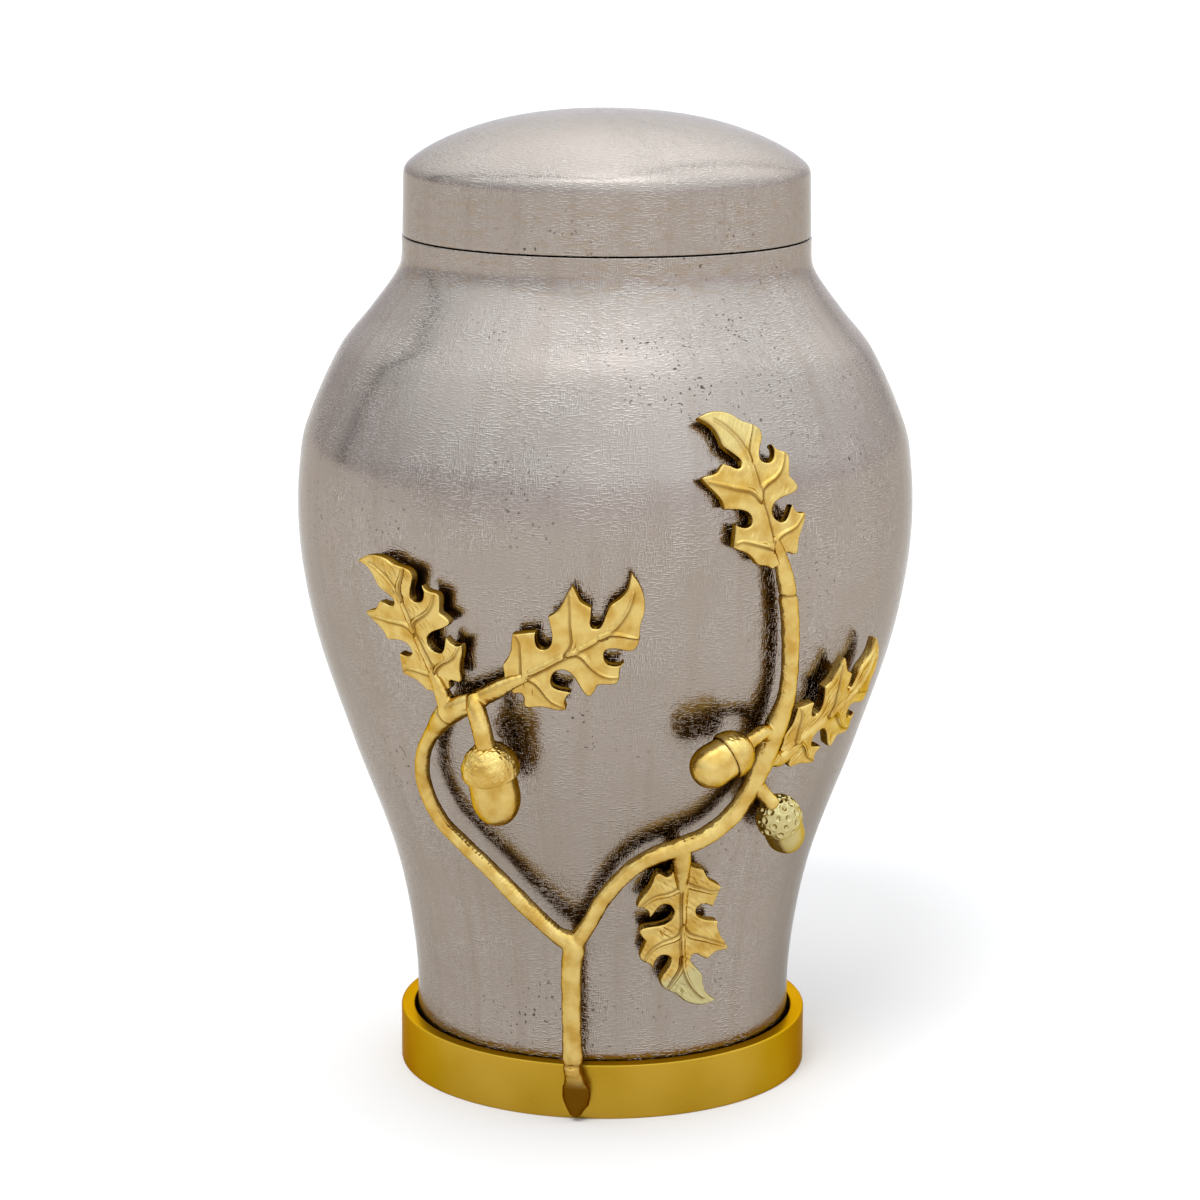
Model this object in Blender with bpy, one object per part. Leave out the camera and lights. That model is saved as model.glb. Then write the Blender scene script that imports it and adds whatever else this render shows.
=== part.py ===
"""Memorial urn: a hollow metal vessel with a lift-off lid, standing in a shallow brass ring.

A cast oak branch with five leaves and three acorns rises from the front of the ring and
stands a few millimetres off the vessel's wall. Units are metres and +Z is up. The origin is
the centre of the ring's underside, and the branch is on the -Y side.
"""

import math

import bmesh
import bpy
from mathutils import Matrix, Vector
from mathutils.geometry import delaunay_2d_cdt

MM = 0.001

# Walls and clearances
WALL = 1.6 * MM
GAP = 0.3 * MM
WELD = 0.001 * MM
SIDES = 48

# Ring: a shallow tray that the vessel's foot stands in
RING_HEIGHT = 15.2 * MM
RING_WALL = 3.8 * MM
RING_FLOOR = 4.0 * MM
RING_PLAY = 0.6 * MM
RING_CHAMFER = 0.4 * MM

# Vessel, from the foot up
FOOT_RADIUS = 52.4 * MM
WAIST_RADIUS = 52.05 * MM
WAIST_RISE = 17.0 * MM
BELLY_RADIUS = 84.4 * MM
BELLY_RISE = 137.0 * MM
NECK_RADIUS = 55.6 * MM
SHOULDER_RISE = 70.1 * MM
NECK_RISE = 3.9 * MM
COLLAR_HEIGHT = 12.0 * MM
COLLAR_PLAY = 0.3 * MM

# How the wall swells from waist to belly, and draws in from belly to neck:
# share of the rise, share of the change in radius
LOWER_SWELL = ((0.0, 0.0), (0.16, 0.065), (0.31, 0.209), (0.54, 0.564), (0.775, 0.879), (1.0, 1.0))
UPPER_SWELL = ((0.0, 0.0), (0.17, 0.021), (0.32, 0.085), (0.62, 0.412), (0.77, 0.7), (0.92, 0.96), (1.0, 1.0))

# Lid
LID_SETBACK = 0.2 * MM
LID_BAND = 17.9 * MM
LID_DRAFT = 0.3 * MM
DOME_RISE = 15.5 * MM
DOME_FULLNESS = 2.28
DOME_SHOULDER = 0.79

# Branch: the leaf is one pattern, cast five times at slightly different lengths
STEM_RADIUS = 2.5 * MM
LEAF_LENGTH = 43.0 * MM
LEAF_THICKNESS = 3.0 * MM
LEAF_STANDOFF = 3.6 * MM
VEIN_RISE = 0.55 * MM
MIDRIB_RISE = 0.9 * MM
ACORN_RADIUS = 6.4 * MM
ACORN_SEAT = 1.2 * MM
STEM_SIDES = 8
ACORN_SIDES = 10

# Heights where one part rests on another
FOOT_Z = RING_FLOOR + GAP
WAIST_Z = FOOT_Z + WAIST_RISE
BELLY_Z = WAIST_Z + BELLY_RISE
NECK_Z = BELLY_Z + SHOULDER_RISE
RIM_Z = NECK_Z + NECK_RISE
LID_RADIUS = NECK_RADIUS - LID_SETBACK
COLLAR_OUTSIDE = LID_RADIUS - WALL - COLLAR_PLAY

# Leaf edge, walked from the stalk's left side round the tip to its right side: place along
# the leaf, place across it, and the radius that rounds the corner. These, the midrib and
# the veins are in hundredths of the leaf's length.
LEAF_EDGE = (
    (0.0, -4.7, 0.0),
    # first left lobe and the round notch above it
    (4.7, -10.0, 2.3),
    (25.1, -22.8, 2.8),
    (38.1, -14.0, 1.4),
    (29.3, -2.3, 3.7),
    (39.5, -1.4, 3.7),
    # second left lobe
    (46.5, -15.3, 1.2),
    (54.9, -13.7, 2.3),
    (70.9, -17.9, 1.2),
    (68.4, -11.2, 3.5),
    (71.6, -5.1, 2.8),
    (60.0, 4.7, 3.3),
    (62.3, 12.3, 2.8),
    # hooked tip
    (80.2, 5.1, 11.6),
    (91.9, 4.2, 7.0),
    (100.0, 0.0, 0.0),
    (97.7, 8.4, 4.7),
    (91.9, 19.1, 14.0),
    (76.7, 31.6, 7.0),
    (68.8, 33.5, 2.8),
    (61.9, 20.9, 3.0),
    (53.5, 22.3, 3.0),
    # second right lobe
    (59.5, 35.3, 1.2),
    (48.8, 41.6, 1.9),
    (38.4, 36.3, 4.7),
    (30.7, 36.0, 1.4),
    (33.3, 10.0, 4.4),
    (21.4, 10.0, 3.7),
    # first right lobe
    (24.7, 25.1, 2.3),
    (15.8, 32.6, 1.9),
    (7.0, 24.0, 4.7),
    (-3.3, 16.0, 1.9),
    (2.1, 9.8, 1.9),
    (0.0, 4.7, 0.0),
)
MIDRIB = ((2.3, 0.2), (14.0, 2.6), (25.6, 5.3), (37.2, 7.7), (48.8, 10.7), (60.5, 14.4), (72.1, 16.5), (83.7, 14.4), (93.0, 9.3))
VEINS = (
    ((12.8, -3.5), (18.6, -7.4), (24.4, -14.0), (27.0, -19.1)),
    ((45.1, 5.6), (51.9, 2.1), (60.0, -7.4), (67.4, -14.4)),
    ((12.3, 8.6), (11.6, 18.6), (13.5, 27.9)),
    ((42.8, 13.5), (44.4, 22.1), (44.7, 30.2), (47.9, 37.2)),
    ((66.5, 18.4), (70.2, 23.3), (73.5, 28.4)),
)

# Leaves: azimuth and height of the stalk's end, heading, share of LEAF_LENGTH.
# Azimuth runs from the front towards +X, height is in hundredths of the rim's height, and
# heading is in degrees from straight up towards +X.
LEAVES = (
    (-29.4, 53.3, -38.4, 0.91),
    (-16.5, 54.4, 45.3, 1.0),
    (18.0, 31.7, 159.2, 1.05),
    (37.1, 45.2, 44.9, 0.88),
    (29.6, 67.7, -29.3, 0.95),
)

# Stems: azimuth, height in hundredths of the rim's height, then the distance off the wall
# and the radius, both in stem radii.
# The foot's rows are on the ring: their height is in hundredths of the ring's height, and
# the distance is off its outer face.
FOOT = ((-8.0, 14.0, 0.56, 0.92), (-7.7, 50.0, 1.04, 1.16), (-7.4, 96.0, 1.72, 1.08))
TRUNK = ((-7.6, 9.6, 3.68, 1.02), (-7.8, 15.0, 3.52, 1.02), (-7.6, 20.3, 3.2, 1.12), (-7.3, 22.5, 2.96, 1.2))
LEFT_ARM = (
    (-11.4, 23.7, 2.72, 0.92),
    (-20.7, 27.9, 2.28, 0.94),
    (-26.2, 30.8, 2.08, 0.86),
    (-32.5, 33.9, 2.0, 0.82),
    (-36.9, 36.4, 2.0, 0.8),
    (-39.2, 40.6, 2.0, 0.8),
    (-37.6, 44.5, 2.0, 0.8),
    (-34.2, 47.5, 2.0, 0.84),
    (-28.8, 50.8, 2.0, 1.32),
    (-22.2, 52.9, 2.12, 1.06),
    (-17.0, 54.7, 1.92, 0.84),
    (-13.4, 55.7, 1.76, 0.52),
)
RIGHT_ARM = (
    (-7.3, 22.3, 2.96, 1.04),
    (-3.9, 24.8, 2.64, 0.9),
    (-0.2, 28.2, 2.32, 0.88),
    (4.2, 31.1, 2.12, 0.88),
    (9.3, 33.3, 2.0, 0.92),
    (15.6, 34.6, 2.0, 1.0),
    (22.0, 35.8, 2.0, 1.02),
    (27.7, 38.3, 2.0, 1.02),
    (31.2, 42.2, 2.0, 1.04),
    (32.9, 48.0, 2.0, 1.24),
    (34.2, 52.4, 2.0, 0.94),
    (33.2, 59.0, 2.0, 0.96),
    (31.5, 65.0, 1.92, 0.96),
    (30.0, 68.6, 1.76, 0.72),
    (28.9, 70.6, 1.72, 0.48),
)
# Stalks of the first, third and fourth leaves
LEAF_STALKS = (
    ((-28.8, 50.8, 2.0, 1.12), (-29.6, 52.4, 1.96, 0.92), (-30.6, 53.9, 1.84, 0.72), (-31.7, 55.3, 1.76, 0.48)),
    ((16.8, 34.7, 2.0, 1.08), (17.6, 32.8, 2.0, 1.04), (18.3, 30.6, 1.84, 0.8), (18.9, 28.6, 1.76, 0.48)),
    ((32.3, 45.7, 2.0, 1.04), (35.2, 44.7, 1.96, 0.92), (38.2, 45.2, 1.84, 0.72), (40.8, 46.2, 1.76, 0.48)),
)

# Acorns: the stalk's rows, which end in the cup, then the turn from straight down towards
# +X and the lift off the wall in degrees, then cup radius, cup height, nut radius and nut
# length in acorn radii
ACORNS = (
    (
        ((-23.0, 53.2, 2.24, 0.92), (-22.2, 52.2, 3.28, 1.04), (-21.0, 50.4, 4.16, 1.04), (-20.3, 48.5, 4.6, 1.04)),
        (-2.0, 0.0),
        (1.2, 1.25, 0.99, 2.38),
    ),
    (
        ((32.3, 48.0, 2.08, 0.92), (29.6, 48.8, 2.64, 0.8), (25.7, 48.2, 3.6, 0.8)),
        (-67.0, 9.0),
        (1.0, 1.06, 0.88, 1.8),
    ),
    (
        ((31.2, 42.0, 2.04, 0.96), (33.6, 40.7, 2.5, 0.8), (35.5, 39.6, 3.4, 0.8)),
        (36.0, -8.0),
        (0.97, 1.25, 0.83, 2.12),
    ),
)
# Nut outline: share of the nut's length, share of its radius
NUT_SHAPE = ((0.08, 1.0), (0.4, 1.02), (0.68, 0.9), (0.86, 0.65), (0.97, 0.3))


def metal(name, colour, roughness):
    """A metal with this base colour and roughness."""
    material = bpy.data.materials.new(name)
    material.use_nodes = True
    shader = material.node_tree.nodes["Principled BSDF"]
    shader.inputs["Base Color"].default_value = (*colour, 1.0)
    shader.inputs["Metallic"].default_value = 1.0
    shader.inputs["Roughness"].default_value = roughness
    return material


def add_object(name, mesh, material=None):
    """Links a new object for the mesh, shaded smooth except at real edges."""
    mesh.shade_smooth()
    mesh.set_sharp_from_angle(angle=math.radians(35))
    if material:
        mesh.materials.append(material)
    thing = bpy.data.objects.new(name, mesh)
    bpy.context.scene.collection.objects.link(thing)
    return thing


def helper(name, mesh):
    """An object that only lends its shape to a Boolean."""
    thing = add_object(name, mesh)
    thing.hide_render = True
    thing.display_type = "WIRE"
    return thing


def mesh_from(name, shape):
    """Turns a bmesh into a mesh with its faces pointing out."""
    bmesh.ops.recalc_face_normals(shape, faces=shape.faces)
    mesh = bpy.data.meshes.new(name)
    shape.to_mesh(mesh)
    shape.free()
    return mesh


def turned(name, profile, sides):
    """Spins a profile of (radius, height) points, which starts and ends on the axis."""
    shape = bmesh.new()
    points = [shape.verts.new((radius, 0.0, height)) for radius, height in profile]
    edges = [shape.edges.new(pair) for pair in zip(points, points[1:])]
    bmesh.ops.spin(
        shape,
        geom=points + edges,
        cent=(0.0, 0.0, 0.0),
        axis=(0.0, 0.0, 1.0),
        angle=math.tau,
        steps=sides,
        use_merge=True,
    )
    bmesh.ops.remove_doubles(shape, verts=shape.verts, dist=WELD)
    return mesh_from(name, shape)


def smooth_run(points, steps):
    """Points along a smooth curve through the given ones, with steps of them for each span."""
    spans = [(b - a).length for a, b in zip(points, points[1:])]
    slopes = [(points[1] - points[0]) / spans[0]]
    for before, after, back, ahead in zip(points, points[2:], spans, spans[1:]):
        slopes.append((after - before) / (back + ahead))
    slopes.append((points[-1] - points[-2]) / spans[-1])
    run = []
    for start, end, out, into, span in zip(points, points[1:], slopes, slopes[1:], spans):
        for step in range(steps):
            t = step / steps
            run.append(
                start * (1 + 2 * t) * (1 - t) ** 2
                + out * span * t * (1 - t) ** 2
                + end * t * t * (3 - 2 * t)
                + into * span * t * t * (t - 1)
            )
    run.append(points[-1])
    return run


def eased(stations, share):
    """Reads a table of (share, value) as a smooth curve that is level at both ends."""
    last = len(stations) - 2
    i = min(sum(1 for at, _ in stations[1:] if at <= share), last)
    (a, low), (b, high) = stations[i], stations[i + 1]
    out = (high - stations[i - 1][1]) / (b - stations[i - 1][0]) if i > 0 else 0.0
    into = (stations[i + 2][1] - low) / (stations[i + 2][0] - a) if i < last else 0.0
    t = (share - a) / (b - a)
    return (
        low * (1 + 2 * t) * (1 - t) ** 2
        + out * (b - a) * t * (1 - t) ** 2
        + high * t * t * (3 - 2 * t)
        + into * (b - a) * t * t * (t - 1)
    )


def wall_radius(height):
    """Outer radius of the vessel at a height above the ring's underside."""
    if height < WAIST_Z:
        below = (WAIST_Z - height) / WAIST_RISE
        return WAIST_RADIUS + (FOOT_RADIUS - WAIST_RADIUS) * below**2
    if height < BELLY_Z:
        swell = eased(LOWER_SWELL, (height - WAIST_Z) / BELLY_RISE)
        return WAIST_RADIUS + (BELLY_RADIUS - WAIST_RADIUS) * swell
    if height < NECK_Z:
        swell = eased(UPPER_SWELL, (height - BELLY_Z) / SHOULDER_RISE)
        return BELLY_RADIUS + (NECK_RADIUS - BELLY_RADIUS) * swell
    return NECK_RADIUS


def wall_slope(height):
    """Change of the outer radius for each unit of height."""
    reach = BELLY_RISE / 250
    return (wall_radius(height + reach) - wall_radius(height - reach)) / (2 * reach)


def ring_inside():
    """The ring's inner radius: a play clear of the widest part of the wall that it holds."""
    heights = [FOOT_Z + (RING_HEIGHT - FOOT_Z) * share / 8 for share in range(9)]
    return max(wall_radius(height) for height in heights) + RING_PLAY


def around(radius, height, azimuth):
    """Point at a radius, height and azimuth, in degrees from the front towards +X."""
    turn = math.radians(azimuth)
    return Vector((radius * math.sin(turn), -radius * math.cos(turn), height))


def off_wall(azimuth, height, distance):
    """Point that stands a distance off the vessel's wall."""
    tilt = math.atan(wall_slope(height))
    out = distance * math.cos(tilt)
    return around(wall_radius(height) + out, height - distance * math.sin(tilt), azimuth)


def build_ring():
    """Ring with a flat floor and a fine chamfer on its two top edges."""
    inside = ring_inside()
    outside = inside + RING_WALL
    top = RING_HEIGHT - RING_CHAMFER
    profile = [
        (0.0, 0.0),
        (outside, 0.0),
        (outside, top),
        (outside - RING_CHAMFER, RING_HEIGHT),
        (inside + RING_CHAMFER, RING_HEIGHT),
        (inside, top),
        (inside, RING_FLOOR),
        (0.0, RING_FLOOR),
    ]
    brass = metal("satin_brass", (0.62, 0.42, 0.12), 0.35)
    return add_object("base_ring", turned("base_ring", profile, SIDES), brass)


def wall_heights():
    """Heights of the vessel's rings of points, closer together where the wall curves."""
    lower = [WAIST_Z + BELLY_RISE * share for share in (0.0, 0.16, 0.32, 0.5, 0.68, 0.85)]
    upper = [BELLY_Z + SHOULDER_RISE * share for share in (0.0, 0.18, 0.34, 0.5, 0.64, 0.77, 0.89, 1.0)]
    return lower + upper


def build_vessel():
    """Vessel with a closed foot and an open neck, and a collar that the lid fits over."""
    outside = [(0.0, FOOT_Z), (FOOT_RADIUS, FOOT_Z)]
    outside += [(wall_radius(height), height) for height in wall_heights()]
    ledge = [
        (NECK_RADIUS, RIM_Z),
        (COLLAR_OUTSIDE, RIM_Z),
        (COLLAR_OUTSIDE, RIM_Z + COLLAR_HEIGHT),
        (COLLAR_OUTSIDE - WALL, RIM_Z + COLLAR_HEIGHT),
        (COLLAR_OUTSIDE - WALL, NECK_Z),
    ]
    inside = []
    for height in reversed(wall_heights()[:-1]):
        thickness = WALL * math.hypot(1.0, wall_slope(height))
        inside.append((wall_radius(height) - thickness, height))
    floor = [(FOOT_RADIUS - WALL, FOOT_Z + WALL), (0.0, FOOT_Z + WALL)]
    nickel = metal("brushed_nickel", (0.55, 0.51, 0.47), 0.32)
    profile = outside + ledge + inside + floor
    return add_object("vessel", turned("vessel", profile, SIDES), nickel)


def dome(radius, base, rise, rings):
    """Profile points of a shallow dome with a rounded shoulder, from its edge to its top."""
    points = []
    for ring in range(rings + 1):
        share = math.sin(0.5 * math.pi * ring / rings)
        reach = (1.0 - share ** (1.0 / DOME_SHOULDER)) ** (1.0 / DOME_FULLNESS)
        points.append((radius * reach, base + rise * share))
    return points


def build_lid():
    """Hollow lid: a nearly straight band below a domed top."""
    foot = RIM_Z + GAP
    shoulder = foot + LID_BAND
    edge = LID_RADIUS - LID_DRAFT
    outside = [(LID_RADIUS, foot)] + dome(edge, shoulder, DOME_RISE, 8)
    inside = [(LID_RADIUS - WALL, foot)] + dome(edge - WALL, shoulder, DOME_RISE - WALL, 5)
    profile = list(reversed(inside)) + outside
    nickel = metal("brushed_nickel_lid", (0.55, 0.51, 0.47), 0.32)
    return add_object("lid", turned("lid", profile, SIDES), nickel)


def rounded_edge():
    """The leaf's edge with each corner replaced by an arc of its radius."""
    corners = [Vector(row[:2]) for row in LEAF_EDGE]
    outline = []
    for i, (corner, row) in enumerate(zip(corners, LEAF_EDGE)):
        radius = row[2]
        if not radius:
            outline.append(corner)
            continue
        back = corners[i - 1] - corner
        ahead = corners[(i + 1) % len(corners)] - corner
        half = 0.5 * back.angle(ahead)
        reach = min(radius / math.tan(half), 0.48 * back.length, 0.48 * ahead.length)
        start = corner + back.normalized() * reach
        end = corner + ahead.normalized() * reach
        # a quadratic curve is close to the arc and needs no centre
        steps = max(1, round((math.pi - 2 * half) / math.radians(50)))
        for step in range(steps + 1):
            t = step / steps
            outline.append(start * (1 - t) ** 2 + corner * 2 * t * (1 - t) + end * t * t)
    return outline


def leaf_mesh(name, azimuth, height, heading, share):
    """A thick leaf with raised veins, bent to follow the wall."""
    edge = rounded_edge()
    flat = list(edge)
    ridges = []
    rise = [0.0] * len(edge)
    for line, peak in [(MIDRIB, MIDRIB_RISE)] + [(vein, VEIN_RISE) for vein in VEINS]:
        first = len(flat)
        flat += [Vector(point) for point in line]
        ridges += [(first + i, first + i + 1) for i in range(len(line) - 1)]
        rise += [peak * (1.0 - 0.5 * i / len(line)) for i in range(len(line))]
    outline = [list(range(len(edge)))]
    flat, _, faces, sources, _, _ = delaunay_2d_cdt(flat, ridges, outline, 1, 0.001)
    rise = [rise[origin[0]] if origin else 0.0 for origin in sources]

    # the leaf's own axes, laid on the wall as on an unrolled sheet
    scale = share * LEAF_LENGTH / 100
    along = Vector((math.sin(math.radians(heading)), math.cos(math.radians(heading))))
    across = Vector((along.y, -along.x))
    base_height = height / 100 * RIM_Z
    unroll = wall_radius(base_height) + LEAF_STANDOFF

    def place(point, lift):
        sheet = (along * point.x + across * point.y) * scale
        swing = azimuth + math.degrees(sheet.x / unroll)
        return off_wall(swing, base_height + sheet.y, LEAF_STANDOFF + lift)

    shape = bmesh.new()
    front = [shape.verts.new(place(p, LEAF_THICKNESS / 2 + up)) for p, up in zip(flat, rise)]
    back = [shape.verts.new(place(p, -LEAF_THICKNESS / 2)) for p in flat]
    for face in faces:
        shape.faces.new([front[i] for i in face])
        shape.faces.new([back[i] for i in reversed(face)])
    rim = [e for e in shape.edges if len(e.link_faces) == 1 and e.verts[0] in set(front)]
    index = {vert: i for i, vert in enumerate(front)}
    for side in rim:
        a, b = (index[vert] for vert in side.verts)
        shape.faces.new((front[a], front[b], back[b], back[a]))
    return mesh_from(name, shape)


def tube_mesh(name, run):
    """A tube along (x, y, z, radius) points, with flat ends."""
    places = [point.xyz for point in run]
    ahead = [b - a for a, b in zip(places, places[1:])]
    ahead.append(ahead[-1])
    side = ahead[0].orthogonal().normalized()
    shape = bmesh.new()
    rings = []
    for i, (place, point) in enumerate(zip(places, run)):
        forward = (ahead[max(i - 1, 0)].normalized() + ahead[i].normalized()).normalized()
        side = (side - forward * side.dot(forward)).normalized()
        up = forward.cross(side)
        ring = []
        for k in range(STEM_SIDES):
            turn = math.tau * k / STEM_SIDES
            ring.append(shape.verts.new(place + (side * math.cos(turn) + up * math.sin(turn)) * point.w))
        rings.append(ring)
    for low, high in zip(rings, rings[1:]):
        for k in range(STEM_SIDES):
            after = (k + 1) % STEM_SIDES
            shape.faces.new((low[k], low[after], high[after], high[k]))
    shape.faces.new(reversed(rings[0]))
    shape.faces.new(rings[-1])
    return mesh_from(name, shape)


def stem_points(rows):
    """Stem rows on the vessel's wall as (x, y, z, radius) points."""
    points = []
    for azimuth, height, distance, radius in rows:
        place = off_wall(azimuth, height / 100 * RIM_Z, distance * STEM_RADIUS)
        points.append(Vector((*place, radius * STEM_RADIUS)))
    return points


def foot_points():
    """The foot's rows, which follow the ring's outer face instead of the wall."""
    points = []
    face = ring_inside() + RING_WALL
    for azimuth, height, distance, radius in FOOT:
        place = around(face + distance * STEM_RADIUS, height / 100 * RING_HEIGHT, azimuth)
        points.append(Vector((*place, radius * STEM_RADIUS)))
    return points


def acorn_mesh(name, stalk_end, angles, sizes):
    """An acorn in its cup, turned about its own axis and seated on the end of its stalk."""
    cup, cup_height, nut, nut_length = (size * ACORN_RADIUS for size in sizes)
    dome_angles = [math.radians(18 * k) for k in range(1, 6)]
    profile = [(0.0, -cup_height)]
    profile += [(cup * math.sin(a), -cup_height * math.cos(a)) for a in dome_angles]
    profile.append((0.5 * (cup + nut), 0.06 * nut_length))
    profile += [(nut * wide, nut_length * far) for far, wide in NUT_SHAPE]
    profile.append((0.0, nut_length))
    mesh = turned(name, profile, ACORN_SIDES)

    azimuth, height, distance, _ = stalk_end
    height, distance = height / 100 * RIM_Z, distance * STEM_RADIUS
    end = off_wall(azimuth, height, distance)
    out = (off_wall(azimuth, height, 2 * distance) - end).normalized()
    side = around(1.0, 0.0, azimuth + 90.0)
    down = side.cross(out)
    turn, lift = (math.radians(angle) for angle in angles)
    axis = (down * math.cos(turn) + side * math.sin(turn)) * math.cos(lift) + out * math.sin(lift)
    frame = axis.to_track_quat("Z", "Y").to_matrix().to_4x4()
    mesh.transform(Matrix.Translation(end + axis * (cup_height - ACORN_SEAT)) @ frame)
    return mesh


def build_branch():
    """The whole branch as one casting, cut back where its foot meets the ring."""
    trunk = smooth_run(foot_points() + stem_points(TRUNK + LEFT_ARM), 2)
    brass = metal("cast_brass", (0.70, 0.50, 0.18), 0.38)
    branch = add_object("oak_branch", tube_mesh("oak_branch", trunk), brass)

    pieces = bpy.data.collections.new("branch_pieces")
    shapes = [tube_mesh("right_arm", smooth_run(stem_points(RIGHT_ARM), 2))]
    for i, rows in enumerate(LEAF_STALKS):
        shapes.append(tube_mesh(f"leaf_stalk_{i + 1}", smooth_run(stem_points(rows), 2)))
    for i, row in enumerate(LEAVES):
        shapes.append(leaf_mesh(f"leaf_{i + 1}", *row))
    for i, (rows, angles, sizes) in enumerate(ACORNS):
        shapes.append(tube_mesh(f"acorn_stalk_{i + 1}", smooth_run(stem_points(rows), 2)))
        shapes.append(acorn_mesh(f"acorn_{i + 1}", rows[-1], angles, sizes))
    for mesh in shapes:
        pieces.objects.link(helper(mesh.name, mesh))
    join = branch.modifiers.new("join", "BOOLEAN")
    join.operation = "UNION"
    join.operand_type = "COLLECTION"
    join.collection = pieces

    # the ring's outside and the plane it stands on, each a gap larger
    face = ring_inside() + RING_WALL + GAP
    wide = 2 * face
    top = RING_HEIGHT + GAP
    profile = [(0.0, -top), (wide, -top), (wide, GAP), (face, GAP), (face, top), (0.0, top)]
    ring_room = helper("ring_room", turned("ring_room", profile, SIDES))
    cut = branch.modifiers.new("ring_room", "BOOLEAN")
    cut.operation = "DIFFERENCE"
    cut.object = ring_room
    return branch


def main():
    for thing in list(bpy.data.objects):
        bpy.data.objects.remove(thing)
    build_ring()
    build_vessel()
    build_lid()
    build_branch()


main()
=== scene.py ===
import math
import bmesh
import bpy
import numpy as np
from mathutils import Matrix, Vector
from mathutils.geometry import delaunay_2d_cdt


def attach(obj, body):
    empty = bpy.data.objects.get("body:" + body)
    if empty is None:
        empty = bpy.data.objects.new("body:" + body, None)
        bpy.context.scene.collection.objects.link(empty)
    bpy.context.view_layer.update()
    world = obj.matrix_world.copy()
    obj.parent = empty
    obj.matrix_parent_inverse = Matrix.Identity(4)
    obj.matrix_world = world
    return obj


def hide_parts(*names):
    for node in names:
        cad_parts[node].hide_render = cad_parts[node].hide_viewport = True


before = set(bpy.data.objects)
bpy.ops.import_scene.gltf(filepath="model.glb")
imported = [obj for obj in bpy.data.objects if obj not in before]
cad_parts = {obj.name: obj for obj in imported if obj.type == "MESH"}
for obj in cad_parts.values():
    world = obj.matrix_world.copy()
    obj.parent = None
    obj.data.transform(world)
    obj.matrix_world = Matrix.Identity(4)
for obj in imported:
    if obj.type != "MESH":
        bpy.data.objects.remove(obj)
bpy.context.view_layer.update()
mm = 0.001
print("frame loaded:", ", ".join(sorted(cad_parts)))


# small tools for colours, nodes and meshes

def linear(hexColour):
    # sRGB hex to linear: c / 12.92 below 0.04045, else ((c + 0.055) / 1.055) ** 2.4
    channels = [int(hexColour[i:i + 2], 16) / 255 for i in (1, 3, 5)]
    return tuple(c / 12.92 if c <= 0.04045 else ((c + 0.055) / 1.055) ** 2.4 for c in channels) + (1.0,)


def addNode(tree, kind, settings=None):
    # each setting is a property of the node or one of its inputs; an input given a socket is linked
    node = tree.nodes.new(kind)
    for name, value in (settings or {}).items():
        if isinstance(name, str) and hasattr(node, name):
            setattr(node, name, value)
        elif isinstance(value, bpy.types.NodeSocket):
            tree.links.new(value, node.inputs[name])
        else:
            node.inputs[name].default_value = value
    return node


def rampStops(node, stops):
    # a ramp's stops: a place with a hex colour or with a brightness
    elements = node.color_ramp.elements
    while len(elements) < len(stops):
        elements.new(0.5)
    for element, (place, colour) in zip(elements, stops):
        element.position = place
        element.color = linear(colour) if isinstance(colour, str) else (colour, colour, colour, 1.0)
    return node.outputs["Color"]


def newMaterial(name, base, metallic, roughness):
    material = bpy.data.materials.new(name)
    material.use_nodes = True
    shader = material.node_tree.nodes["Principled BSDF"]
    shader.inputs["Base Color"].default_value = linear(base)
    shader.inputs["Metallic"].default_value = metallic
    shader.inputs["Roughness"].default_value = roughness
    return material, material.node_tree, shader


def connect(tree, shader, sockets):
    for name, socket in sockets.items():
        tree.links.new(socket, shader.inputs[name])


def pieceFromMesh(name, mesh, material, node):
    # a finished piece: smooth, riding on the one body, standing in for its node, which is hidden
    mesh.materials.clear()
    mesh.materials.append(material)
    mesh.shade_smooth()
    piece = bpy.data.objects.new(name, mesh)
    bpy.context.scene.collection.objects.link(piece)
    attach(piece, "root")
    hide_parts(node)
    return piece


def gridMesh(name, points, caps=False):
    # a (rows, columns, 3) array of points joined by quads, its last column to its first
    rows, cols = points.shape[:2]
    r, c = np.meshgrid(np.arange(rows - 1) * cols, np.arange(cols), indexing="ij")
    nextRow, nextCol = r + cols, (c + 1) % cols
    quads = np.stack([r + c, r + nextCol, nextRow + nextCol, nextRow + c], -1)
    faces = quads.reshape(-1, 4).tolist()
    if caps:
        faces.append(list(range(cols))[::-1])
        faces.append([(rows - 1) * cols + i for i in range(cols)])
    mesh = bpy.data.meshes.new(name)
    mesh.from_pydata(points.reshape(-1, 3), [], faces)
    return mesh


def tidyMesh(mesh, weld=1e-6):
    # merges the doubles at poles and seams, then turns all faces out
    work = bmesh.new()
    work.from_mesh(mesh)
    bmesh.ops.remove_doubles(work, verts=work.verts, dist=weld)
    bmesh.ops.dissolve_degenerate(work, edges=work.edges, dist=weld)
    bmesh.ops.recalc_face_normals(work, faces=work.faces)
    work.to_mesh(mesh)
    work.free()
    return mesh


def writePoints(mesh, points):
    mesh.vertices.foreach_set("co", (points * mm).astype(np.float32).ravel())
    mesh.update()


def readMesh(mesh):
    # its points in mm and its normals
    found = []
    for source, field in ((mesh.vertices, "co"), (mesh.vertex_normals, "vector")):
        flat = np.empty(len(source) * 3, np.float32)
        source.foreach_get(field, flat)
        found.append(flat.reshape(-1, 3).astype(float))
    return found[0] / mm, found[1]


def paint(mesh, name, values):
    # a value or a vector for each point, which a material reads by name
    values = np.asarray(values, np.float32)
    kind, field = ("FLOAT", "value") if values.ndim == 1 else ("FLOAT_VECTOR", "vector")
    mesh.attributes.new(name, kind, "POINT").data.foreach_set(field, values.ravel())


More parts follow.
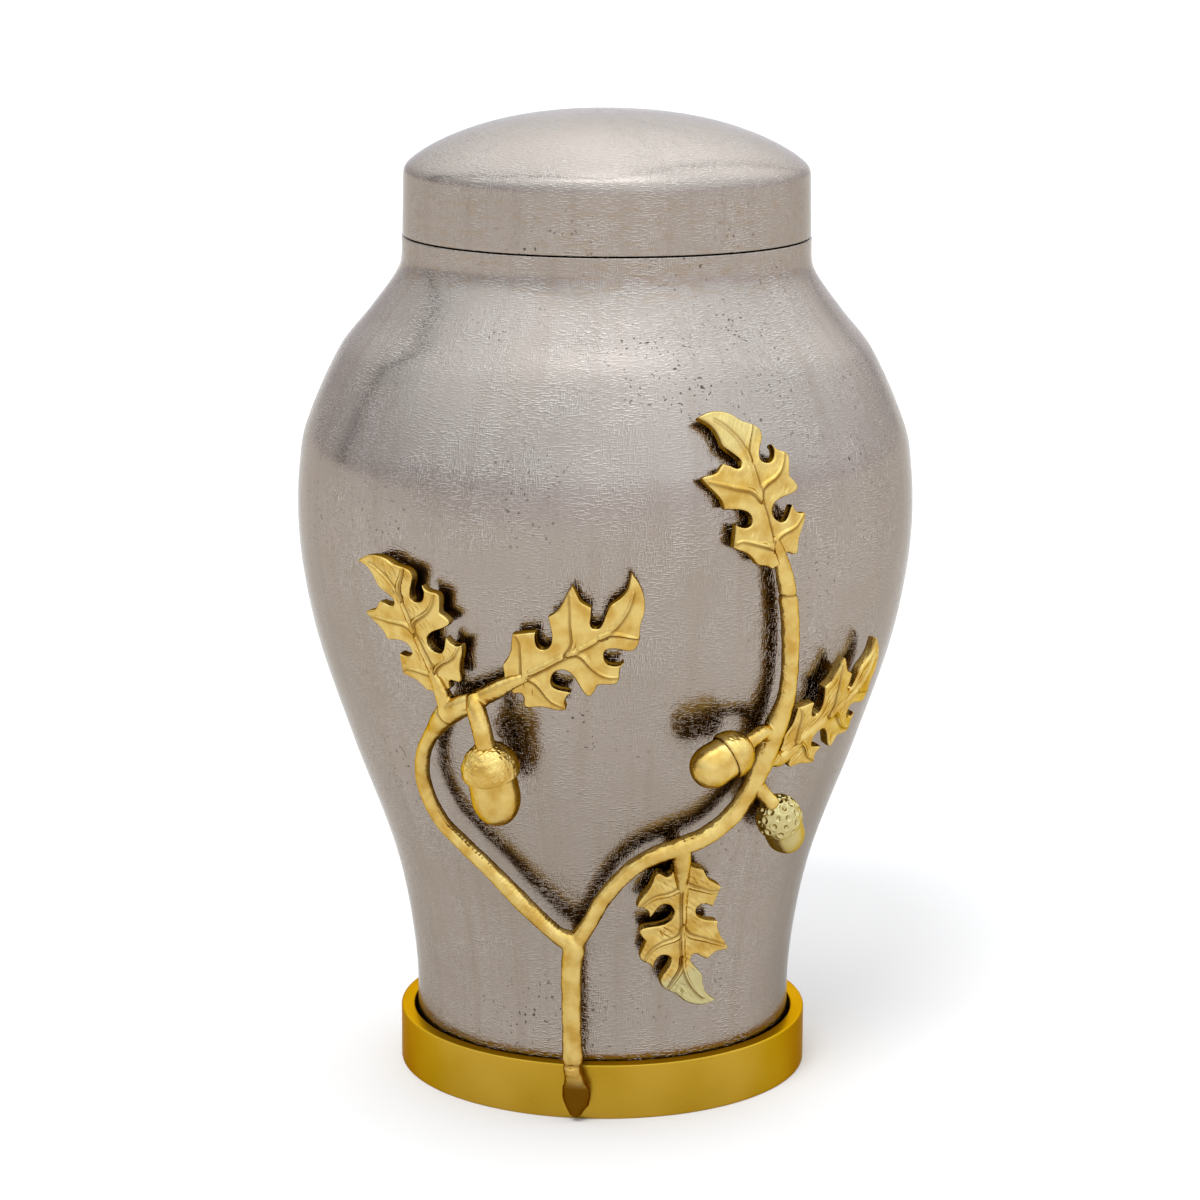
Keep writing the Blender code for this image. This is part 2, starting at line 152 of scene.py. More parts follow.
def ripple(points, size, seed, waves=14, heading=None):
    # a soft random field between about -1 and 1: the mean of plane waves with random
    # directions and phases, whose wavelengths lie around size. With a heading in degrees
    # the waves run within 20 degrees of it, which gives short parallel lines
    rng = np.random.default_rng(seed)
    directions = rng.normal(size=(waves, points.shape[1]))
    directions /= np.linalg.norm(directions, axis=1, keepdims=True)
    if heading is not None:
        turn = np.radians(heading + rng.uniform(-20, 20, waves))
        directions = np.column_stack([np.cos(turn), np.sin(turn)])
    lengths = size * rng.uniform(0.7, 1.5, waves)
    phases = rng.uniform(0, 2 * np.pi, waves)
    angle = points @ (directions / lengths[:, None]).T * 2 * np.pi + phases
    return np.sin(angle).sum(1) / math.sqrt(waves / 2) / 1.6


def smoothStep(low, high, value):
    t = np.clip((value - low) / (high - low), 0, 1)
    return t * t * (3 - 2 * t)


def bell(value, width):
    # exp(-(value / width) ** 2)
    return np.exp(-(value / width) ** 2)


def lengthAlong(line):
    # the distance walked from a flat line's start to each of its points
    return np.concatenate([[0], np.cumsum(np.hypot(*np.diff(line, axis=0).T))])


def pointsAt(line, steps):
    # a flat line's points at the distances walked
    return np.column_stack([np.interp(steps, lengthAlong(line), line[:, k]) for k in range(2)])


# the vessel's wall, which everything else is placed by; its numbers are millimetres

urn = dict(
    footZ=4.3, footRadius=52.4, waistZ=21.3, waistRadius=52.05, bellyZ=158.3, bellyRadius=84.4,
    neckZ=228.4, neckRadius=55.6, rimZ=232.3, wall=1.6, collarRadius=53.5, collarHeight=12.0,
    aged=(224, 229, 0.45), around=256,
    lowerSwell=((0, 0), (0.16, 0.065), (0.31, 0.209), (0.54, 0.564), (0.775, 0.879), (1, 1)),
    upperSwell=((0, 0), (0.17, 0.021), (0.32, 0.085), (0.62, 0.412), (0.77, 0.7), (0.92, 0.96), (1, 1)),
)


def hermite(x, y, slopes, at):
    # cubic through the points (x, y) with the given slopes
    i = np.clip(np.searchsorted(x, at, side="right") - 1, 0, len(x) - 2)
    span = x[i + 1] - x[i]
    t = (at - x[i]) / span
    return (y[i] * (1 + 2 * t) * (1 - t) ** 2 + slopes[i] * span * t * (1 - t) ** 2
            + y[i + 1] * t * t * (3 - 2 * t) + slopes[i + 1] * span * t * t * (t - 1))


def eased(stations, share):
    # the stations as a smooth curve that is level at both ends
    x, y = np.array(stations, float).T
    slopes = np.zeros(len(x))
    slopes[1:-1] = (y[2:] - y[:-2]) / (x[2:] - x[:-2])
    return hermite(x, y, slopes, np.clip(share, 0, 1))


def wallRadius(z):
    # outer radius in mm at a height in mm: foot flare, swell to the belly, then the shoulder
    z = np.asarray(z, float)
    u = urn
    flare = u["waistRadius"] + (u["footRadius"] - u["waistRadius"]) * np.clip(
        (u["waistZ"] - z) / (u["waistZ"] - u["footZ"]), 0, 1) ** 2
    lower = u["waistRadius"] + (u["bellyRadius"] - u["waistRadius"]) * eased(
        u["lowerSwell"], (z - u["waistZ"]) / (u["bellyZ"] - u["waistZ"]))
    upper = u["bellyRadius"] + (u["neckRadius"] - u["bellyRadius"]) * eased(
        u["upperSwell"], (z - u["bellyZ"]) / (u["neckZ"] - u["bellyZ"]))
    return np.where(z < u["waistZ"], flare, np.where(z < u["bellyZ"], lower, upper))


def wallSlope(z):
    # how far the wall widens over one mm of height
    return wallRadius(np.asarray(z) + 0.5) - wallRadius(np.asarray(z) - 0.5)


def offWall(azimuth, z, distance):
    # the point (in mm) a distance off the wall: azimuth in degrees from the front towards +X
    turn = np.radians(azimuth)
    tilt = np.arctan(wallSlope(z))
    radius = wallRadius(z) + distance * np.cos(tilt)
    return np.stack([radius * np.sin(turn), -radius * np.cos(turn), z - distance * np.sin(tilt)], -1)


def wallNormal(azimuth, z):
    # square to the wall, pointing away from the urn
    turn = np.radians(azimuth)
    tilt = np.arctan(wallSlope(z))
    return np.stack([np.sin(turn) * np.cos(tilt), -np.cos(turn) * np.cos(tilt), -np.sin(tilt)], -1)


# turned pieces

def turnedMesh(name, profile, around):
    # a profile of (radius, height) in mm carried round the axis: (r sin a, -r cos a, z).
    # lay is the same point with its height replaced by the length along the profile, and
    # turn is that on a drum of the belly's radius, so brushed lines can follow the surface
    profile = np.array(profile, float)
    angle = np.linspace(0, 2 * np.pi, around, endpoint=False)
    r, z = profile[:, :1], profile[:, 1:]
    along = lengthAlong(profile)[:, None]
    points = np.stack([r * np.sin(angle), -r * np.cos(angle), z + 0 * angle], -1) * mm
    mesh = gridMesh(name, points)
    for field, radius in (("lay", r), ("turn", urn["bellyRadius"])):
        rows = np.broadcast_arrays(radius * np.sin(angle), -radius * np.cos(angle), along + 0 * angle)
        paint(mesh, field, (np.stack(rows, -1) * mm).reshape(-1, 3))
    return tidyMesh(mesh)


def arc(centre, radius, start, end, steps):
    # part of a circle in the profile's plane, angles in degrees from +radius towards +height
    a = np.radians(np.linspace(start, end, steps + 1))
    return [(centre[0] + radius * math.cos(t), centre[1] + radius * math.sin(t)) for t in a]


def vesselProfile():
    u = urn
    zs = np.concatenate([np.linspace(u["footZ"] + 0.8, u["waistZ"], 10)[:-1],
                         np.linspace(u["waistZ"], u["bellyZ"], 80)[:-1],
                         np.linspace(u["bellyZ"], u["neckZ"], 60)[:-1],
                         np.linspace(u["neckZ"], u["rimZ"] - 0.3, 5)])
    outer = [(float(wallRadius(z)), float(z)) for z in zs]
    foot = u["footRadius"]
    bottom = [(r, u["footZ"]) for r in (0, 20, 40)]
    bottom += arc((foot - 0.8, u["footZ"] + 0.8), 0.8, -90, -10, 5)
    rim, collar, top = u["neckRadius"], u["collarRadius"], u["rimZ"] + u["collarHeight"]
    ledge = arc((rim - 0.3, u["rimZ"] - 0.3), 0.3, 10, 90, 4) + [(collar, u["rimZ"])]
    lip = [(collar, top - 0.3)] + arc((collar - 0.3, top - 0.3), 0.3, 10, 90, 3)
    inner = collar - u["wall"]
    lip += arc((inner + 0.3, top - 0.3), 0.3, 90, 180, 3) + [(inner, u["neckZ"])]
    insideZ = np.concatenate([np.linspace(u["neckZ"] - 2, u["bellyZ"], 40),
                              np.linspace(u["bellyZ"], u["footZ"] + 3, 50)[1:]])
    inside = [(float(wallRadius(z) - u["wall"] * math.hypot(1, float(wallSlope(z)))), float(z)) for z in insideZ]
    floor = [(r, u["footZ"] + u["wall"]) for r in (foot - 3.0, 30, 0)]
    return bottom + outer + ledge + lip + inside + floor


# soft is the step, the reach and the height over which the band turns into the dome
lidShape = dict(radius=55.4, foot=232.6, band=17.9, draft=0.3, rise=15.5, fullness=2.28, shoulder=0.79,
                edge=0.35, soft=(0.6, 1.6, 3.0), aged=(232, 244, 0.4))


def domeProfile(radius, base, rise, steps):
    # radius * (1 - s ** (1 / shoulder)) ** (1 / fullness) at height base + rise * s
    s = np.sin(0.5 * np.pi * np.linspace(0, 1, steps + 1))
    reach = (1 - s ** (1 / lidShape["shoulder"])) ** (1 / lidShape["fullness"])
    return list(zip(radius * reach, base + rise * s))


def softened(profile, spacing, reach, height, around):
    # a profile in even steps, each point drawn towards the mean of those within reach of it
    # near one height: bell(z - height, around) of the way
    profile = np.array(profile)
    length = lengthAlong(profile)[-1]
    even = np.linspace(0, length, int(length / spacing) + 2)
    points = pointsAt(profile, even)
    weight = bell(even[:, None] - even[None], reach)
    mean = weight @ points / weight.sum(1, keepdims=True)
    return list(map(tuple, points + (mean - points) * bell(points[:, 1:] - height, around)))


def lidProfile():
    d = lidShape
    shoulder = d["foot"] + d["band"]
    edge = d["radius"] - d["draft"]
    outside = arc((d["radius"] - d["edge"], d["foot"] + d["edge"]), d["edge"], -90, 0, 4)
    band = d["band"] - d["edge"]
    outside += [(d["radius"] - d["draft"] * t, d["foot"] + d["edge"] + band * t) for t in np.linspace(0.05, 0.98, 14)]
    outside += domeProfile(edge, shoulder, d["rise"], 60)
    outside = outside[:5] + softened(outside[5:], *d["soft"][:2], shoulder, d["soft"][2])
    wall = urn["wall"]
    inside = [(d["radius"] - wall, d["foot"])] + domeProfile(edge - wall, shoulder, d["rise"] - wall, 30)
    return inside[::-1] + outside


ringShape = dict(inner=53.0, outer=56.8, height=15.2, floor=4.0, edge=0.45, foot=0.35)


def ringProfile():
    d = ringShape
    e, f = d["edge"], d["foot"]
    side = [(d["outer"], z) for z in np.linspace(f + 0.6, d["height"] - e - 0.4, 12)]
    points = [(0, 0), (25, 0), (48, 0)] + arc((d["outer"] - f, f), f, -90, -5, 4) + side
    points += arc((d["outer"] - e, d["height"] - e), e, 0, 90, 6)
    points += arc((d["inner"] + e, d["height"] - e), e, 90, 180, 6)
    return points + [(d["inner"], 9.0), (d["inner"], d["floor"]), (26, d["floor"]), (0, d["floor"])]


# materials; sizes are in mm

nickelFinish = dict(
    base="#998E84", ground="#90857A", shade="#7A7065", glint="#C4BCB3", stain="#917F6B", speck="#4B4138",
    edge="#D4D0CB", smoke="#8C7F72", roughness=0.14, relief=0.044, strokeLightShare=0.62,
    strokeLength=1.5, strokeWidth=0.36, levelShift=0.45, uprightShift=0.4, grain=0.4, grainShare=0.45,
    patch=11.0, calm=17.0, cloud=38.0, band=(6.5, 6.5, 70.0), bandShare=0.45, bandLow=246.0, bandHigh=254.0,
    streak=(4.5, 4.5, 1.5), dot=1.1,
)


def strokes(tree, source, size, place=(0.0, 0.0, 0.0)):
    # noise drawn out into short strokes; size is that of its cells in mm on each axis
    cells = addNode(tree, "ShaderNodeMapping", {
        "Vector": source, "Scale": tuple(1 / (mm * s) for s in size), "Location": place})
    noise = addNode(tree, "ShaderNodeTexNoise", {
        "Vector": cells.outputs["Vector"], "Scale": 1.0, "Detail": 0.6, "Roughness": 0.5, "Distortion": 0.12})
    crisp = addNode(tree, "ShaderNodeMapRange", {
        "interpolation_type": "SMOOTHSTEP", "Value": noise.outputs["Fac"], "From Min": 0.5, "From Max": 0.68})
    return crisp.outputs["Result"]


def strokesAndLighting(tree, source, size, place, shift):
    # strokes, and their edges: 0 on the ground, a painted highlight on one side of a stroke and painted shade on the
    # other
    here = strokes(tree, source, size, place)
    moved = strokes(tree, source, size, tuple(p + d for p, d in zip(place, shift)))
    return here, addNode(tree, "ShaderNodeMath", {"operation": "SUBTRACT", 0: here, 1: moved}).outputs[0]


def nickelPlate(name):
    # nickel plate over metal that was cross-brushed like linen: short strokes round and up
    # the body break its reflections into grains, and the plate keeps a warm grey cast. Real
    # strokes are about 0.3 mm wide and drawn a little wider here so that they show
    d = nickelFinish
    material, tree, shader = newMaterial(name, d["base"], 1.0, d["roughness"])
    # tarnished nickel loses brightness where it is seen aslant
    shader.inputs["Specular Tint"].default_value = linear(d["edge"])
    lay = addNode(tree, "ShaderNodeAttribute", {"attribute_name": "lay"}).outputs["Vector"]
    turn = addNode(tree, "ShaderNodeAttribute", {"attribute_name": "turn"}).outputs["Vector"]
    age = addNode(tree, "ShaderNodeAttribute", {"attribute_name": "age"}).outputs["Fac"]
    long, wide = d["strokeLength"], d["strokeWidth"]
    level, levelLighting = strokesAndLighting(tree, lay, (long, long, wide), (0.0, 0.0, 0.0), (0.0, 0.0, d["levelShift"]))
    upright, uprightLighting = strokesAndLighting(tree, turn, (wide, wide, long), (5.3, 2.1, 7.7), (d["uprightShift"], 0.0, 0.0))
    # some patches are brushed more upright, the others more level
    patch = addNode(tree, "ShaderNodeTexNoise", {"Vector": turn, "Scale": 1 / (d["patch"] * mm), "Detail": 2.0})
    upShare = addNode(tree, "ShaderNodeMapRange", {
        "Value": patch.outputs["Fac"], "From Min": 0.38, "From Max": 0.62, "To Min": 0.15, "To Max": 1.0})
    levelShare = addNode(tree, "ShaderNodeMapRange", {
        "Value": patch.outputs["Fac"], "From Min": 0.5, "From Max": 0.68, "To Min": 1.0, "To Max": 0.3})
    woven = []
    for flat, tall in ((level, upright), (levelLighting, uprightLighting)):
        up = addNode(tree, "ShaderNodeMath", {"operation": "MULTIPLY", 0: tall, 1: upShare.outputs["Result"]})
        woven.append(addNode(tree, "ShaderNodeMath", {
            "operation": "MULTIPLY_ADD", 0: flat, 1: levelShare.outputs["Result"], 2: up.outputs[0]}).outputs[0])
    weave, edges = woven
    grain = addNode(tree, "ShaderNodeTexNoise", {"Vector": lay, "Scale": 1 / (d["grain"] * mm), "Detail": 1.0})
    height = addNode(tree, "ShaderNodeMath", {
        "operation": "MULTIPLY_ADD", 0: grain.outputs["Fac"], 1: d["grainShare"], 2: weave})
    calm = addNode(tree, "ShaderNodeTexNoise", {
        "Vector": lay, "Scale": 1 / (d["calm"] * mm), "Detail": 3.0, "Roughness": 0.6}).outputs["Fac"]
    strength = addNode(tree, "ShaderNodeMapRange", {
        "Value": calm, "From Min": 0.35, "From Max": 0.62, "To Min": 0.3, "To Max": 1.0}).outputs["Result"]
    bump = addNode(tree, "ShaderNodeBump", {
        "Height": height.outputs[0], "Strength": strength, "Distance": d["relief"] * mm})

    # colour: cloudy tarnish, with a painted highlight on one side of each stroke and painted shade on the other, as on
    # relief lit from above
    cloud = addNode(tree, "ShaderNodeTexNoise", {
        "Vector": lay, "Scale": 1 / (d["cloud"] * mm), "Detail": 4.0, "Roughness": 0.6}).outputs["Fac"]
    ground = rampStops(addNode(tree, "ShaderNodeValToRGB", {"Fac": cloud}), [(0.32, d["ground"]), (0.62, d["base"])])
    centred = addNode(tree, "ShaderNodeMath", {"operation": "MULTIPLY_ADD", 0: edges, 1: 0.5, 2: 0.5})
    strokeLightAndShade = rampStops(addNode(tree, "ShaderNodeValToRGB", {"Fac": centred.outputs[0]}),
                      [(0.15, d["shade"]), (0.5, d["base"]), (0.85, d["glint"])])
    share = addNode(tree, "ShaderNodeMath", {"operation": "MULTIPLY", 0: strength, 1: d["strokeLightShare"]})
    tinted = addNode(tree, "ShaderNodeMix", {"data_type": "RGBA", 0: share.outputs[0], 6: ground, 7: strokeLightAndShade})
    # tall smoky bands left by the brush, which end where the lid's dome begins
    cells = addNode(tree, "ShaderNodeMapping", {"Vector": turn, "Scale": tuple(1 / (mm * s) for s in d["band"])})
    band = addNode(tree, "ShaderNodeTexNoise", {
        "Vector": cells.outputs["Vector"], "Scale": 1.0, "Detail": 3.0, "Roughness": 0.6})
    smoky = addNode(tree, "ShaderNodeMapRange", {
        "Value": band.outputs["Fac"], "From Min": 0.48, "From Max": 0.72, "To Max": d["bandShare"]})
    place = addNode(tree, "ShaderNodeTexCoord").outputs["Object"]
    below = addNode(tree, "ShaderNodeMapRange", {
        "Value": addNode(tree, "ShaderNodeSeparateXYZ", {"Vector": place}).outputs["Z"],
        "From Min": d["bandLow"] * mm, "From Max": d["bandHigh"] * mm, "To Min": 1.0, "To Max": 0.0})
    # brown streaks on both sides of the seam, then small dark specks in clusters
    streak = strokes(tree, lay, d["streak"], (1.7, 0.0, 3.0))
    dots = addNode(tree, "ShaderNodeTexNoise", {"Vector": lay, "Scale": 1 / (d["dot"] * mm), "Detail": 1.0})
    dot = addNode(tree, "ShaderNodeMapRange", {"Value": dots.outputs["Fac"], "From Min": 0.66, "From Max": 0.72})
    cluster = addNode(tree, "ShaderNodeMapRange", {"Value": cloud, "From Min": 0.5, "From Max": 0.66})
    colour = tinted.outputs[2]
    for first, second, tone in ((smoky.outputs["Result"], below.outputs["Result"], "smoke"),
                                (streak, age, "stain"), (dot.outputs["Result"], cluster.outputs["Result"], "speck")):
        both = addNode(tree, "ShaderNodeMath", {"operation": "MULTIPLY", 0: first, 1: second})
        colour = addNode(tree, "ShaderNodeMix", {
            "data_type": "RGBA", 0: both.outputs[0], 6: colour, 7: linear(d[tone])}).outputs[2]
    rough = addNode(tree, "ShaderNodeMapRange", {
        "Value": calm, "From Min": 0.3, "From Max": 0.7,
        "To Min": d["roughness"] + 0.05, "To Max": d["roughness"] - 0.04})
    connect(tree, shader, {
        "Normal": bump.outputs["Normal"], "Base Color": colour, "Roughness": rough.outputs["Result"]})
    return material


ringFinish = dict(base="#AC8823", light="#BD9837", edge="#C49E58", roughness=0.3, line=0.3, relief=0.006, cloud=30.0)


def satinBrass(name):
    # turned brass under clear lacquer: an even satin with hair-fine lines round the ring,
    # drawn coarser than the real 0.05 mm so that they show
    d = ringFinish
    material, tree, shader = newMaterial(name, d["base"], 1.0, d["roughness"])
    shader.inputs["Specular Tint"].default_value = linear(d["edge"])
    lay = addNode(tree, "ShaderNodeAttribute", {"attribute_name": "lay"}).outputs["Vector"]
    lines = strokes(tree, lay, (40.0, 40.0, d["line"]))
    bump = addNode(tree, "ShaderNodeBump", {"Height": lines, "Strength": 0.25, "Distance": d["relief"] * mm})
    cloud = addNode(tree, "ShaderNodeTexNoise", {"Vector": lay, "Scale": 1 / (d["cloud"] * mm), "Detail": 2.0})
    shade = rampStops(addNode(tree, "ShaderNodeValToRGB", {"Fac": cloud.outputs["Fac"]}),
                      [(0.3, d["base"]), (0.7, d["light"])])
    rough = addNode(tree, "ShaderNodeMapRange", {
        "Value": cloud.outputs["Fac"], "From Min": 0.3, "From Max": 0.7,
        "To Min": d["roughness"] - 0.03, "To Max": d["roughness"] + 0.04})
    connect(tree, shader, {
        "Normal": bump.outputs["Normal"], "Base Color": shade, "Roughness": rough.outputs["Result"]})
    return material


# the tone for the side towards the wall is painted shade, and the one for hollows and creases is partly patina and
# partly painted shade
castFinish = dict(
    front="#CDB26A", dull="#B79245", rearShadeTone="#7E5E22", patinaAndShade="#6C460A", pale="#B9AE7C", edge="#D6B66C",
    roughness=0.2, grain=0.45, relief=0.06, cloud=5.0,
)


def castBrass(name):
    # lost-wax cast brass, tumbled and lacquered: soft satin with a fine sandy grain, painted
    # shade on its flanks and on the side towards the wall, a brown in its hollows and creases that
    # is partly patina and partly painted shade, and paler at the ends of two leaves and on one acorn
    d = castFinish
    material, tree, shader = newMaterial(name, d["front"], 1.0, d["roughness"])
    shader.inputs["Specular Tint"].default_value = linear(d["edge"])
    place = addNode(tree, "ShaderNodeTexCoord").outputs["Object"]
    grain = addNode(tree, "ShaderNodeTexNoise", {
        "Vector": place, "Scale": 1 / (d["grain"] * mm), "Detail": 2.0, "Roughness": 0.6}).outputs["Fac"]
    bump = addNode(tree, "ShaderNodeBump", {"Height": grain, "Strength": 0.8, "Distance": d["relief"] * mm})
    cloud = addNode(tree, "ShaderNodeTexNoise", {"Vector": place, "Scale": 1 / (d["cloud"] * mm), "Detail": 3.0})
    colour = rampStops(addNode(tree, "ShaderNodeValToRGB", {"Fac": cloud.outputs["Fac"]}),
                       [(0.35, d["dull"]), (0.62, d["front"])])
    # mixes in the paler ends, the patina and painted shade of hollows and creases, and the painted shade towards the
    # wall
    for share, tone in (("pale", "pale"), ("patinaAndShade", "patinaAndShade"), ("rearShade", "rearShadeTone")):
        here = addNode(tree, "ShaderNodeAttribute", {"attribute_name": share})
        colour = addNode(tree, "ShaderNodeMix", {
            "data_type": "RGBA", 0: here.outputs["Fac"], 6: colour, 7: linear(d[tone])}).outputs[2]
    rough = addNode(tree, "ShaderNodeMapRange", {
        "Value": grain, "From Min": 0.3, "From Max": 0.7,
        "To Min": d["roughness"] - 0.05, "To Max": d["roughness"] + 0.07})
    connect(tree, shader, {
        "Normal": bump.outputs["Normal"], "Base Color": colour, "Roughness": rough.outputs["Result"]})
    return material


nickelBody = nickelPlate("nickelPlateCrossBrushed")
brassRing = satinBrass("satinTurnedBrass")
brassCast = castBrass("satinCastBrass")
print("materials made")


for name, profile, aged, node in (("vessel_body", vesselProfile(), urn["aged"], "vessel"),
                                  ("vessel_lid", lidProfile(), lidShape["aged"], "lid")):
    # age is its share between two heights, fading 5 mm beyond
    mesh = turnedMesh(name, profile, urn["around"])
    z = readMesh(mesh)[0][:, 2]
    low, high, share = aged
    paint(mesh, "age", share * smoothStep(low - 5, low, z) * (1 - smoothStep(high, high + 5, z)))
    pieceFromMesh(name, mesh, nickelBody, node)
pieceFromMesh("ring_base", turnedMesh("ring_base", ringProfile(), urn["around"]), brassRing, "base_ring")
print("turned pieces made")


# the branch: stems

# ripples are (height, size) in mm
stem = dict(radius=2.5, sides=28, spacing=0.35, voxel=0.29, relax=4, hammered=(0.06, 5.0), crossRipple=(0.03, 1.6),
            pits=(0.012, 0.8), crease=0.4, creaseWidth=0.4, rib=0.035, ribSpacing=1.25, clear=0.3)
ringFace = ringShape["outer"]

# rows are azimuth, height in hundredths of the rim's height, then distance off the wall and
# radius in stem radii; the foot's heights are hundredths of the ring's height
foot = ((-8.0, 14.0, 0.56, 0.92), (-7.7, 50.0, 1.04, 1.16), (-7.4, 96.0, 1.72, 1.08))
trunk = ((-7.6, 9.6, 3.68, 1.06), (-7.8, 15.0, 3.52, 1.06), (-7.6, 20.3, 3.2, 1.12), (-7.3, 22.5, 2.96, 1.2))
leftArm = (
    (-11.4, 23.7, 2.72, 0.92), (-20.7, 27.9, 2.28, 0.94), (-26.2, 30.8, 2.08, 0.86), (-32.5, 33.9, 2.0, 0.82),
    (-36.9, 36.4, 2.0, 0.8), (-39.2, 40.6, 2.0, 0.8), (-37.6, 44.5, 2.0, 0.8), (-34.2, 47.5, 2.0, 0.84),
    (-28.8, 50.8, 2.0, 1.32), (-22.2, 52.9, 2.12, 1.06), (-17.0, 54.7, 1.92, 0.84), (-13.4, 55.7, 1.76, 0.52),
)
rightArm = (
    (-7.3, 22.3, 2.96, 1.04), (-3.9, 24.8, 2.64, 0.9), (-0.2, 28.2, 2.32, 0.88), (4.2, 31.1, 2.12, 0.88),
    (9.3, 33.3, 2.0, 0.92), (15.6, 34.6, 2.0, 1.0), (22.0, 35.8, 2.0, 1.02), (27.7, 38.3, 2.0, 1.02),
    (31.2, 42.2, 2.0, 1.04), (32.9, 48.0, 2.0, 1.24), (34.2, 52.4, 2.0, 0.94), (33.2, 59.0, 2.0, 0.96),
    (31.5, 65.0, 1.92, 0.96), (30.0, 68.6, 1.76, 0.72), (28.9, 70.6, 1.72, 0.48),
)
leafStalks = (
    ((-28.8, 50.8, 2.0, 1.12), (-29.6, 52.4, 1.96, 0.92), (-30.6, 53.9, 1.84, 0.72), (-31.7, 55.3, 1.76, 0.48)),
    ((16.8, 34.7, 2.0, 1.08), (17.6, 32.8, 2.0, 1.04), (18.3, 30.6, 1.84, 0.8), (18.9, 28.6, 1.76, 0.48)),
    ((32.3, 45.7, 2.0, 1.04), (35.2, 44.7, 1.96, 0.92), (38.2, 45.2, 1.84, 0.72), (40.8, 46.2, 1.76, 0.48)),
)
acornStalks = (
    ((-23.0, 53.2, 2.24, 0.92), (-22.2, 52.2, 3.28, 1.04), (-21.0, 50.4, 4.16, 1.04), (-20.3, 48.5, 4.6, 1.04)),
    ((32.3, 48.0, 2.08, 0.92), (29.6, 48.8, 2.64, 0.8), (25.7, 48.2, 3.6, 0.8)),
    ((31.2, 42.0, 2.04, 0.96), (33.6, 40.7, 2.5, 0.8), (35.5, 39.6, 3.4, 0.8)),
)


# the foot's lug: height in hundredths of the ring's height, then width and shift to the
# right in mm, how far it stands out, and how brown it is
lug = (
    (0, 0.7, 0.8, 0.0, 1.0), (16, 0.85, 0.95, 0.0, 1.0), (30, 1.22, 1.3, -0.1, 1.0), (48, 1.34, 1.1, -0.45, 1.0),
    (66, 1.24, 0.8, -0.45, 1.0), (73, 1.05, 0.6, -0.2, 0.85), (84, 0.95, 0.4, 0.15, 0.35), (91, 0.9, 0.2, 0.1, 0.25),
    (96, 0.9, 0.0, 0.55, 0.0), (106, 0.9, -0.2, 0.5, 0.0), (111, 0.88, -0.1, -0.5, 0.7), (116, 1.0, 0.0, -0.1, 0.0),
    (124, 1.08, 0.0, 0.0, 0.0), (150, 1.0, 0.0, 0.0, 0.0),
)
# where a stem is joined or nicked: azimuth, height in mm, heading of the stem, depth share
creases = ((30.9, 149.0, -4.0, 1.0), (-29.8, 117.3, 52.0, 0.8), (-22.9, 121.0, 165.0, 0.7))


def stemKnots(rows):
    # rows to (x, y, z, radius) in mm
    a, h, d, r = np.array(rows, float).T
    return np.column_stack([offWall(a, h / 100 * urn["rimZ"], d * stem["radius"]), r * stem["radius"]])


def footKnots():
    a, h, d, r = np.array(foot, float).T
    turn = np.radians(a)
    out = ringFace + d * stem["radius"]
    return np.column_stack([out * np.sin(turn), -out * np.cos(turn), h / 100 * ringShape["height"], r * stem["radius"]])


def stemRun(knots, spacing):
    # a smooth curve through the knots, each slope taken from its two neighbours
    lengths = np.linalg.norm(np.diff(knots[:, :3], axis=0), axis=1)
    at = np.concatenate([[0], np.cumsum(lengths)])
    slopes = np.empty_like(knots)
    slopes[0] = (knots[1] - knots[0]) / lengths[0]
    slopes[-1] = (knots[-1] - knots[-2]) / lengths[-1]
    slopes[1:-1] = (knots[2:] - knots[:-2]) / (lengths[:-1] + lengths[1:])[:, None]
    t = np.linspace(0, at[-1], int(at[-1] / spacing) + 2)
    return np.column_stack([hermite(at, knots[:, k], slopes[:, k], t) for k in range(4)])


def tubePoints(run, sides):
    # circles of the run's radius, square to its path and turned by the urn's own axis
    path, radius = run[:, :3], run[:, 3]
    ahead = np.gradient(path, axis=0)
    ahead /= np.linalg.norm(ahead, axis=1, keepdims=True)
    out = path * (1, 1, 0)
    out /= np.linalg.norm(out, axis=1, keepdims=True)
    side = np.cross(ahead, out)
    side /= np.linalg.norm(side, axis=1, keepdims=True)
    up = np.cross(side, ahead)
    a = np.linspace(0, 2 * np.pi, sides, endpoint=False)
    return path[:, None] + radius[:, None, None] * (
        side[:, None] * np.cos(a)[None, :, None] + up[:, None] * np.sin(a)[None, :, None])


def joined(name, meshes):
    # one mesh from several, with all their loose parts kept
    work = bmesh.new()
    for mesh in meshes:
        work.from_mesh(mesh)
        bpy.data.meshes.remove(mesh)
    bmesh.ops.recalc_face_normals(work, faces=work.faces)
    whole = bpy.data.meshes.new(name)
    work.to_mesh(whole)
    work.free()
    return whole


def remeshed(mesh, voxel, relax):
    # overlapping closed shapes to one skin, its junctions softened by relaxing the points
    temporary = bpy.data.objects.new("temporary", mesh)
    bpy.context.scene.collection.objects.link(temporary)
    skin = temporary.modifiers.new("skin", "REMESH")
    skin.mode = "VOXEL"
    skin.voxel_size = voxel
    soften = temporary.modifiers.new("soften", "SMOOTH")
    soften.factor = 0.5
    soften.iterations = relax
    bpy.context.view_layer.update()
    evaluated = temporary.evaluated_get(bpy.context.evaluated_depsgraph_get())
    result = bpy.data.meshes.new_from_object(evaluated)
    bpy.data.objects.remove(temporary)
    return result


def rearShadeShare(points, normals):
    # the share of painted shade: 0 where a surface faces away from the wall, half on its flanks and 1 towards the wall,
    # in the urn's shade
    out = points * (1, 1, 0)
    out /= np.linalg.norm(out, axis=1, keepdims=True) + 1e-9
    return 1 - smoothStep(-0.6, 0.7, (normals * out).sum(1))


